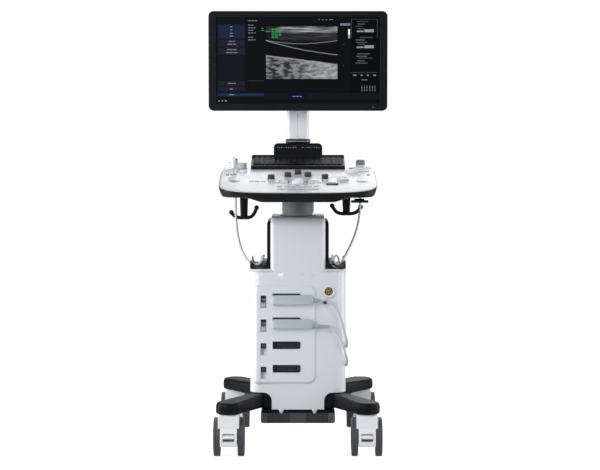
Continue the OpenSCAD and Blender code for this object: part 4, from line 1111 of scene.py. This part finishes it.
def side_trims():
    """Black strips that flare into trays on the shoulders."""
    pieces = []
    for side in (-1, 1):
        section = [(79.3, 520.4), (137, 520.4), (138, 524), (137.6, 541), (136.4, 542.4), (135.0, 541),
                   (133.4, 528), (130, 523.6), *arc(113, 547.2, 24, 270, 180, 10), (89, 640), (88.6, 652),
                   (86.5, 656), (79.3, 657)]
        outline = mm([(side * u, v) for u, v in section])
        o = prism("trim", outline, -0.119, 0.128)
        crop = prism("crop", mm([(-119.4, 519), (-119.4, 541), (-112, 549), (-112.5, 632),
                                 *arc(-92, 636, 20, 180, 90),
                                 (118, 656), (128.4, 646), (128.4, 519)]), -0.2, 0.2, "yz")
        cut(o, [crop], "INTERSECT")
        notch = prism("notch", mm([(-66, 533), (-72, 560), (100, 560), (94, 533)]), side * 0.126,
                      side * 0.16, "yz")
        cut(o, [notch])
        pieces.append(soften(o, 0.0014, 3, 40))
    o = join("side_trim_shapes", pieces)
    soften(o, 0.0003, 1, 60)
    ready(o, BLACK, "base")
    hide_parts("side_trims")
    pads = []
    for side in (-1, 1):
        mat_piece = prism("m", mm([(side * u, v) for u, v in corners(106, -108, 130, 116, 6)]), 0.5231,
                          0.5239, "xy")
        pads.append(mat_piece)
    ready(join("tray_mats", pads), material("mat_grey", (0.075, 0.078, 0.085), 0.6, grain=0.6,
                                            grain_scale=300,
                                            mottle=0.3), "base")
    cleats = []
    for side in (-1, 1):
        stalk = prism("k", mm([(side * u, v) for u, v in ((88.5, 541), (105, 542), (107.4, 546),
                                                          (107.6, 560),
                                                          (105.6, 560.5), (104.6, 549), (94, 548.6),
                                                          (88.5, 549))]),
                      -0.103, -0.094)
        cleats.append(soften(stalk, 0.0006, 2))
    ready(join("cable_cleats", cleats), PALE_GREY_AND_PAINTED_HIGHLIGHT, "base")


def port_panel():
    tops = (449, 380, 311, 243)
    pad = loft("port_pad", [
        [(u * MM, y * MM, v * MM)
         for u, v in corners(-124 + i, 190 + i, 51 - i, 470 - i, [10 - i / 2, 22 - i, 14 - i / 2,
                                                                  10 - i / 2])]
        for i, y in ((-2.5, -112), (-2.5, -128.4), (-1.6, -129.8), (0.0, -131.2), (2.2, -133.0),
                     (4.4, -134.4),
                     (6.4, -134.9), (8.0, -135))])
    slots, rims, sockets, contacts, wells, painted_shadows, painted_shade_bands = [], [], [], [], [], [], []
    for k, top in enumerate(tops):
        slots.append(prism("s", mm(corners(-72.5, top - 21, 8, top + 1, [2, 6, 6, 2])), -0.15, -0.1142))
        slots.append(prism("l", mm(corners(-107.4, top - 40, -90.6, top - 4, 1.2)), -0.15, -0.121))
        recess = mm([(-110, top - 46), (-91, top - 46), (-91, top - 4.5), (-107, top - 4.5)])
        slots.append(prism("r", recess, -0.15, -0.1335))
        liner = prism("liner", mm(corners(-72.3, top - 20.8, 7.8, top + 0.8, [1.8, 5.8, 5.8, 1.8])),
                      -0.1335, -0.1136)
        cut(liner, [prism("in", mm(corners(-71.0, top - 19.5, 6.5, top - 0.5, [1.2, 5, 5, 1.2])), -0.2,
                          -0.1152)])
        sockets.append(soften(liner, 0.0003, 2))
        well = prism("well", mm(corners(-107.2, top - 39.8, -90.8, top - 4.2, 1)), -0.1330, -0.1206)
        cut(well, [prism("in2", mm(corners(-106.6, top - 39.2, -91.4, top - 4.8, 0.8)), -0.2, -0.1212)])
        wells.append(well)
        # Dark sheets across the top of each lock well are painted shadow under the well's upper lip; in the
        # two upper wells, grey bands below them are painted shade, darker than the lock's own grey.
        painted_shadows.append(box_mm("p", (-106.4, -121.9, top - 12.6), (-91.6, -121.0, top - 5.0), 0))
        if k < 2:
            painted_shade_bands.append(box_mm("q", (-106.4, -121.9, top - 25), (-91.6, -121.0, top - 13.2), 0))
        lip = prism("lip", mm(corners(-76.5, top - 25, 12, top + 5, 5)), -0.1358, -0.1340)
        cut(lip, [prism("in3", mm(corners(-72.5, top - 21, 8, top + 1, [2, 6, 6, 2])), -0.15, -0.12)])
        rims.append(soften(lip, 0.0008, 3))
        if k > 1:
            contacts.append(box_mm("c", (-60, -116.6, top - 12.4), (-4, -115.1, top - 8.0), 0.0003))
    cut(pad, slots)
    soften(pad, 0.0006, 2, 60)
    ready(pad, PAD, "base")
    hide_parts("port_panel")
    ready(join("port_rims", rims), WHITE, "base")
    ready(join("port_sockets", sockets), material("port_slate", (0.022, 0.027, 0.040), 0.45), "base")
    ready(join("lock_wells", wells), PAD, "base")
    # painted shadow and painted shade in the lock wells
    ready(join("lock_well_painted_shadow", painted_shadows), SOCKET, "base")
    ready(join("lock_well_painted_shade", painted_shade_bands), material("painted_shade_grey", (0.20, 0.215, 0.24), 0.45), "base")
    ready(join("port_contacts", contacts), material("contact_dark", (0.035, 0.042, 0.06), 0.35, metal=0.3),
          "base")

    bodies, edges, reliefs = [], [], []
    for top, relief_z, relief_end in ((449, 431, 66), (380, 357, 89)):
        shell = prism("body", mm(corners(-77, top - 28.5, 42, top - 3, [2, 6, 6, 2])), -0.1555, -0.1355)
        bodies.append(soften(shell, 0.0030, 4, 40))
        grip = prism("grip", mm(corners(-66, top - 26, 36, top - 6, [1.5, 4.5, 4.5, 1.5])), -0.1562, -0.1550)
        bodies.append(soften(grip, 0.0005, 3))
        # pale pieces at each connector's left edge and right end are painted highlights, where these edges
        # catch the light
        edges.append(soften(prism("band", mm(corners(-74.5, top - 28.2, -68.5, top - 3.6, 1.2)), -0.1563,
                                  -0.137),
                            0.0008, 3))
        edges.append(soften(prism("end", mm([(39.0, top - 24), (42.6, top - 24), (43.0, top - 16),
                                             (42.6, top - 8),
                                             (39.0, top - 8)]), -0.1545, -0.137), 0.0006, 3))
        n = 7
        profile = [(0.01, 41.8), (6.4, 41.8), (6.4, 45)]
        for k in range(n):
            z0 = 45.5 + (relief_end - 47.5) * k / n
            r = 6.0 - 2.2 * k / n
            step = (relief_end - 47.5) / n
            profile += [(r, z0), (r, z0 + step * 0.6), (r - 0.7, z0 + step * 0.64),
                        (r - 0.7, z0 + step * 0.96)]
        profile += [(3.7, relief_end - 0.1), (0.01, relief_end - 0.1)]
        relief = turned("relief", profile, 32, (0, -146, relief_z), "X")
        reliefs.append(relief)
    o = join("connector_bodies", bodies)
    ready(o, PLUG, "base")
    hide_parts("probe_connectors")
    # painted highlights on the connector edges
    ready(join("connector_painted_highlights", edges), PALE_GREY_AND_PAINTED_HIGHLIGHT, "base")
    ready(join("connector_reliefs", reliefs), material("relief_grey", (0.36, 0.38, 0.42), 0.5, grain=0.2),
          "base")

    for n, (bottom, mat) in enumerate(((409.4, LOCK), (340.4, LOCK), (291.6, SOCKET), (223.6, SOCKET)), 1):
        slide_piece = prism(f"lock_{n}_shape", mm(corners(-107, bottom, -91, bottom + 15, 1.8)), -0.1344,
                            -0.1255)
        ready(soften(slide_piece, 0.0014, 3), mat, f"lock_{n}")
        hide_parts(f"port_lock_{n}")
        ridges = [box_mm("g", (-104, -134.9, bottom + 3.5 + 3 * k), (-94, -134.2, bottom + 4.7 + 3 * k),
                         0.0003)
                  for k in range(3)]
        ready(join(f"lock_{n}_ridges", ridges), PALE_GREY_AND_PAINTED_HIGHLIGHT if n < 3 else KNOB, f"lock_{n}")


def round_ports():
    ring = turned("round_port_ring", [(11.9, -118), (11.9, -132.6), (12.6, -133.6), (14.6, -134.4),
                                      (17.2, -133.8),
                                      (18.4, -132.4), (18.4, -127.4), (15.4, -127.2), (15.4, -118),
                                      (11.9, -118)],
                  96, (PORT_X, 0, PORT_Z), "Y")
    ready(ring, WHITE, "base")
    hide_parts("front_jacks")
    insert = turned("round_port_insert", [(0.01, -116), (11.8, -116), (11.8, -127), (10.8, -128),
                                          (0.01, -128)], 48,
                    (PORT_X, 0, PORT_Z), "Y")
    ready(insert, INSERT, "base")
    pins = []
    for r, count in ((0, 1), (4.2, 6), (8.0, 10)):
        for k in range(count):
            a = 2 * math.pi * (k + 0.25) / count
            pin = turned("pin", [(0.01, -127.8), (1.5, -127.8), (1.5, -130.6), (1.0, -131.2),
                                 (0.01, -131.3)], 12,
                         (PORT_X + r * math.cos(a), 0, PORT_Z + r * math.sin(a)), "Y")
            pins.append(pin)
    ready(join("round_port_pins", pins), GOLD, "base")
    jack = turned("small_jack_ring", [(5.2, -124), (5.2, -133), (5.7, -133.9), (6.8, -133.9), (7.6, -132.8),
                                      (7.6, -127.4), (5.6, -127.2), (5.6, -124), (5.2, -124)], 48,
                                      (JACK_X, 0, JACK_Z), "Y")
    ready(jack, WHITE, "base")
    lining = turned("small_jack_lining", [(2.6, -120), (2.6, -132), (3.2, -132.6), (4.6, -132.6),
                                          (5.15, -132),
                                          (5.15, -120), (2.6, -120)], 48, (JACK_X, 0, JACK_Z), "Y")
    ready(lining, BLUE_METAL, "base")
    plug = turned("small_jack_core", [(0.01, -120), (2.5, -120), (2.5, -128), (1.6, -130.4), (0.01, -130.8)],
                  32, (JACK_X, 0, JACK_Z), "Y")
    ready(plug, material("jack_white", (0.5, 0.52, 0.56), 0.4), "base")


def underside():
    refined("base_hub", LEG, 0.0024, 3)
    parts = []
    for side in (-1, 1):
        parts.append(prism("e", mm([(side * u, v) for u, v in corners(88, 75.5, 107.3, 104, 3)]), -0.1296,
                           -0.1278))
    ready(soften(join("hub_caps", parts), 0.0006, 2), material("hub_grey", (0.075, 0.08, 0.09), 0.4,
                                                               grain=0.3),
          "base")
    band = prism("hub_band", mm(corners(-24, 75, 24, 104, 2)), -0.1294, -0.1278)
    ready(soften(band, 0.0005, 2), material("hub_band_grey", (0.045, 0.05, 0.06), 0.3, grain=0.2), "base")
    face = prism("hub_face", mm(corners(-88, 75, 88, 104, 2)), -0.1288, -0.1278)
    ready(soften(face, 0.0004, 2), material("hub_slate", (0.020, 0.022, 0.028), 0.35, grain=0.2), "base")
    lines = [box_mm("n", (x - 0.5, -129.2, 77), (x + 0.5, -128.2, 103), 0) for x in (-84, -54, -25, 25, 54,
                                                                                     84)]
    ready(join("hub_ribs", lines), RUBBER, "base")
    tabs, screws = [], []
    for side in (-1, 1):
        x = side * 48
        tab = prism("t", mm([(x - 8, 115.5), (x - 4, 104.5), (x - 2.4, 103), (x + 2.4, 103), (x + 4, 104.5),
                             (x + 8, 115.5)]), -0.1312, -0.1288)
        tabs.append(soften(tab, 0.0007, 3))
        screw = turned("w", [(0.01, -131.0), (4.0, -131.0), (4.2, -132.0), (3.2, -133.2), (1.6, -133.4),
                             (1.4, -132.2),
                             (0.01, -132.2)], 28, (x, 0, 108.4), "Y")
        screws.append(screw)
    ready(join("cover_tabs", tabs), WHITE, "base")
    o = join("screw_heads", screws)
    ready(o, STEEL, "base")
    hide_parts("cover_screws")
    refined("column_outer", STEEL, 0.0006, 2)
    refined("card_rack", INNER, 0.0006, 2)
    refined("power_supply", INNER, 0.0008, 2)
    refined("fan_housing", BLACK, 0.0008, 2)
    refined("fan_rotor", KNOB, 0.0006, 2)
    refined("power_inlet", BLACK, 0.0006, 2)


body_covers()
side_trims()
port_panel()
round_ports()
underside()

# ---------------------------------------------------------------- legs and casters


def leg_outline(side, front):
    """Root edge beside the core, then the round end over the caster, tangent lines between."""
    sign = -1 if front else 1
    y_end = -SWIVEL_FRONT if front else SWIVEL_REAR
    r, cx = 36.5, SWIVEL_X
    root = ((75.9, 46 if front else 52), (75.9, 124 if front else 134))
    points = []
    direction = math.degrees(math.atan2(y_end - 85, cx - 76))
    points.append(root[1])
    points.append((96, root[1][1] + 4))
    points += [(cx + r * math.cos(math.radians(a)), y_end + r * math.sin(math.radians(a)))
               for a in [direction + 92 - 184 * k / 28 for k in range(29)]]
    points.append((108, root[0][1] + 6))
    points.append(root[0])
    return [(side * x * MM, sign * y * MM) for x, y in points]


def leg(side, front):
    outline = leg_outline(side, front)
    y_end = SWIVEL_FRONT if front else SWIVEL_REAR

    def share(x, y):
        return max(0, min(1, (abs(x) / MM - 76) / 110))

    rows = []
    for inset, level in ((3.0, 0.0), (0.8, 0.06), (0.0, 0.2), (0.0, 0.62), (1.2, 0.80), (4.0, 0.93),
                         (8.5, 1.0)):
        ring = []
        cx = sum(p[0] for p in outline) / len(outline)
        cy = sum(p[1] for p in outline) / len(outline)
        n = len(outline)
        for k, (x, y) in enumerate(outline):
            ax, ay = outline[k - 1]
            bx, by = outline[(k + 1) % n]
            tx, ty = bx - ax, by - ay
            length = math.hypot(tx, ty) or 1
            nx, ny = ty / length, -tx / length
            if nx * (x - cx) + ny * (y - cy) < 0:
                nx, ny = -nx, -ny
            root = abs(x) < 0.0775
            x2 = x if root else x - nx * inset * MM
            y2 = y - (0 if root else ny * inset * MM)
            t = share(x, y)
            low = 118 + 7 * min(1, t * 1.6)
            high = 162 - 5 * t
            ring.append((x2, y2, (low + (high - low) * level) * MM))
        rows.append(ring)
    o = loft(f"leg_{'front' if front else 'rear'}_{'left' if side < 0 else 'right'}", rows)
    bore = turned("bore", [(0.01, 110), (8.1, 110), (8.1, 151), (0.01, 151)], 32,
                  (side * SWIVEL_X, y_end, 0))
    cut(o, [bore])
    soften(o, 0.0006, 2, 50)
    return ready(o, LEG, "base")


def caster(side, front):
    name = f"{'front' if front else 'rear'}_{'left' if side < 0 else 'right'}"
    at = Vector((side * SWIVEL_X, SWIVEL_FRONT if front else SWIVEL_REAR, 0))
    parts = []
    outline = [(TRAIL + 57.3 * math.cos(a), AXLE_Z + 57.3 * math.sin(a))
               for a in [math.radians(202 - 176 * k / 26) for k in range(27)]]
    outline += [(60, 66), (44, 52), (38, 42), (20, 38), (0, 37), (-22, 37)]
    trimmed = [(max(-38, min(58, y)), min(122.8, z)) for y, z in outline]
    core = prism("core", [(y * MM, z * MM) for y, z in trimmed], -0.0238, 0.0238, "yz")
    core.data.transform(Matrix.Translation(at * MM))
    bore = turned("bore", [(0.01, -30), (5.1, -30), (5.1, 30), (0.01, 30)], 24,
                  at + Vector((0, TRAIL, AXLE_Z)), "X")
    cuts = [bore]
    if front:
        cuts.append(box_mm("deep", (side * 194 - 16.2, -310, 48.5), (side * 194 + 16.2, -264, 71), 0))
    cut(core, cuts)
    parts.append(soften(core, 0.0018, 4, 40))
    band_out, band_in = [], []
    for k in range(22):
        a = math.radians(148 - 108 * k / 21)
        band_out.append((20 + 60.0 * math.cos(a), AXLE_Z + 67.8 * math.sin(a)))
        band_in.append((20 + 56.2 * math.cos(a), AXLE_Z + 56.2 * math.sin(a)))
    clip = [(-28.6, 85), (-28.6, 118), (-24, 122.8)] + [(y, min(122.8, z)) for y, z in band_out if y > -20]
    clip += list(reversed(band_in))
    fender = prism("fender", [(y * MM, z * MM) for y, z in clip], -0.0296, 0.0296, "yz")
    fender.data.transform(Matrix.Translation(at * MM))
    parts.append(soften(fender, 0.0026, 4, 40))
    cap = turned("cap", [(0.01, 108), (27.5, 108), (28.5, 112), (28.5, 121), (26.5, 123), (8, 123), (8, 150),
                         (0.01, 150)], 64, at)
    parts.append(cap)
    o = join("hood_" + name + "_shape", parts)
    soften(o, 0.0004, 1, 60)
    ready(o, HOOD, "hood_" + name)
    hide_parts("hood_" + name)
    tyres, rims = [], []
    for s in (-1, 1):
        tread = [(38, -9.2), (52.4, -9.25), (54.2, -8.6), (54.9, -7.2), (55.0, -0.5), (54.6, -0.3),
                 (54.6, 0.3), (55.0, 0.5), (54.9, 7.2), (54.2, 8.6), (52.4, 9.25), (38, 9.2), (38, -9.2)]
        t = turned("t", tread, 96, at + Vector((s * 34, TRAIL, AXLE_Z)), "X")
        tyres.append(t)
        r = turned("r", [(5.0, -8.4), (12, -8.4), (14, -6.2), (34, -5.6), (36, -7.6), (38.1, -7.8),
                         (38.1, 7.8),
                         (36, 7.6), (34, 5.6), (14, 6.2), (12, 8.4), (0.01, 8.4), (0.01, -8.4),
                         (5.0, -8.4)], 64,
                   at + Vector((s * 34, TRAIL, AXLE_Z)), "X")
        rims.append(r)
    axle_piece = turned("x", [(0.01, -34), (5, -34), (5, 34), (0.01, 34)], 24,
                        at + Vector((0, TRAIL, AXLE_Z)), "X")
    t = join("tyres_" + name, tyres)
    ready(t, TYRE, "wheels_" + name)
    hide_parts("wheels_" + name)
    ready(soften(join("rims_" + name, [*rims, axle_piece]), 0.0004, 2), RIM, "wheels_" + name)
    if front:
        word = "left" if side < 0 else "right"
        pedal = prism("pedal_" + word + "_shape", mm([
            (-39.6, 60), (-38, 57.2), (-27, 57), (-20, 55), (-11, 56), (-9.4, 62), (-11, 68), (-20, 69),
            (-30, 67.4),
            (-38.6, 64.6)]), -0.0154, 0.0154, "yz")
        pedal.data.transform(Matrix.Translation(at * MM))
        ready(soften(pedal, 0.0012, 3), HOOD, "pedal_" + word)
        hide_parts("pedal_" + word)


for front in (True, False):
    for side in (-1, 1):
        leg(side, front)
        caster(side, front)
for side, word in ((-1, "left"), (1, "right")):
    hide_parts(f"legs_{word}")

# ---------------------------------------------------------------- stage and lights


def flat_color(name, color, rough=0.5):
    m = bpy.data.materials.new(name)
    m.use_nodes = True
    m.node_tree.nodes["Principled BSDF"].inputs["Base Color"].default_value = (*color, 1)
    m.node_tree.nodes["Principled BSDF"].inputs["Roughness"].default_value = rough
    return m


def stage():
    bpy.ops.mesh.primitive_plane_add(size=60, location=(0, LIFT_Y, 0))
    floor = bpy.context.object
    floor.name = "floor"
    pale = flat_color("floor_pale", (0.55, 0.55, 0.56), 0.7)
    t = pale.node_tree
    bsdf = t.nodes["Principled BSDF"]
    bsdf.inputs["Emission Color"].default_value = (1, 1, 1, 1)
    seen = t.nodes.new("ShaderNodeLightPath")
    lift_up = t.nodes.new("ShaderNodeMath")
    lift_up.operation = "MULTIPLY"
    lift_up.inputs[1].default_value = 0.82
    t.links.new(seen.outputs["Is Camera Ray"], lift_up.inputs[0])
    t.links.new(lift_up.outputs[0], bsdf.inputs["Emission Strength"])
    floor.data.materials.append(pale)
    world = bpy.data.worlds.new("world")
    scene.world = world
    world.use_nodes = True
    t = world.node_tree
    glow = t.nodes["Background"]
    glow.inputs["Color"].default_value = (0.93, 0.96, 1.0, 1)
    glow.inputs["Strength"].default_value = 0.40
    plain = t.nodes.new("ShaderNodeBackground")
    plain.inputs["Color"].default_value = (1, 1, 1, 1)
    plain.inputs["Strength"].default_value = 1.0
    seen = t.nodes.new("ShaderNodeLightPath")
    either = t.nodes.new("ShaderNodeMixShader")
    t.links.new(seen.outputs["Is Camera Ray"], either.inputs[0])
    t.links.new(glow.outputs[0], either.inputs[1])
    t.links.new(plain.outputs[0], either.inputs[2])
    t.links.new(either.outputs[0], t.nodes["World Output"].inputs["Surface"])


def soft_box(name, place, target, size, power, color=(1, 1, 1)):
    data = bpy.data.lights.new(name, "AREA")
    data.shape = "RECTANGLE"
    data.size, data.size_y = size
    data.energy = power
    data.color = color
    o = bpy.data.objects.new(name, data)
    o.location = place
    o.rotation_euler = (Vector(target) - Vector(place)).to_track_quat("-Z", "Y").to_euler()
    scene.collection.objects.link(o)


stage()
soft_box("key_left", (-2.2, -3.0, 1.9), (0, 0, 0.6), (1.2, 2.4), 76)
soft_box("fill_right", (2.6, -2.6, 0.9), (0, 0, 0.4), (1.4, 2.2), 24, (0.92, 0.95, 1.0))
soft_box("strip_left", (-1.5, -0.1, 0.75), (0, 0.05, 0.7), (0.3, 1.5), 18)
soft_box("strip_right", (1.5, 0.1, 0.75), (0, 0.05, 0.7), (0.2, 1.4), 12)
soft_box("top", (0, -0.4, 3.2), (0, 0, 0.8), (2.0, 2.0), 16)
soft_box("back", (0.6, 2.6, 2.0), (0, 0, 0.8), (2.0, 1.6), 30)
scene.view_settings.view_transform = "Standard"
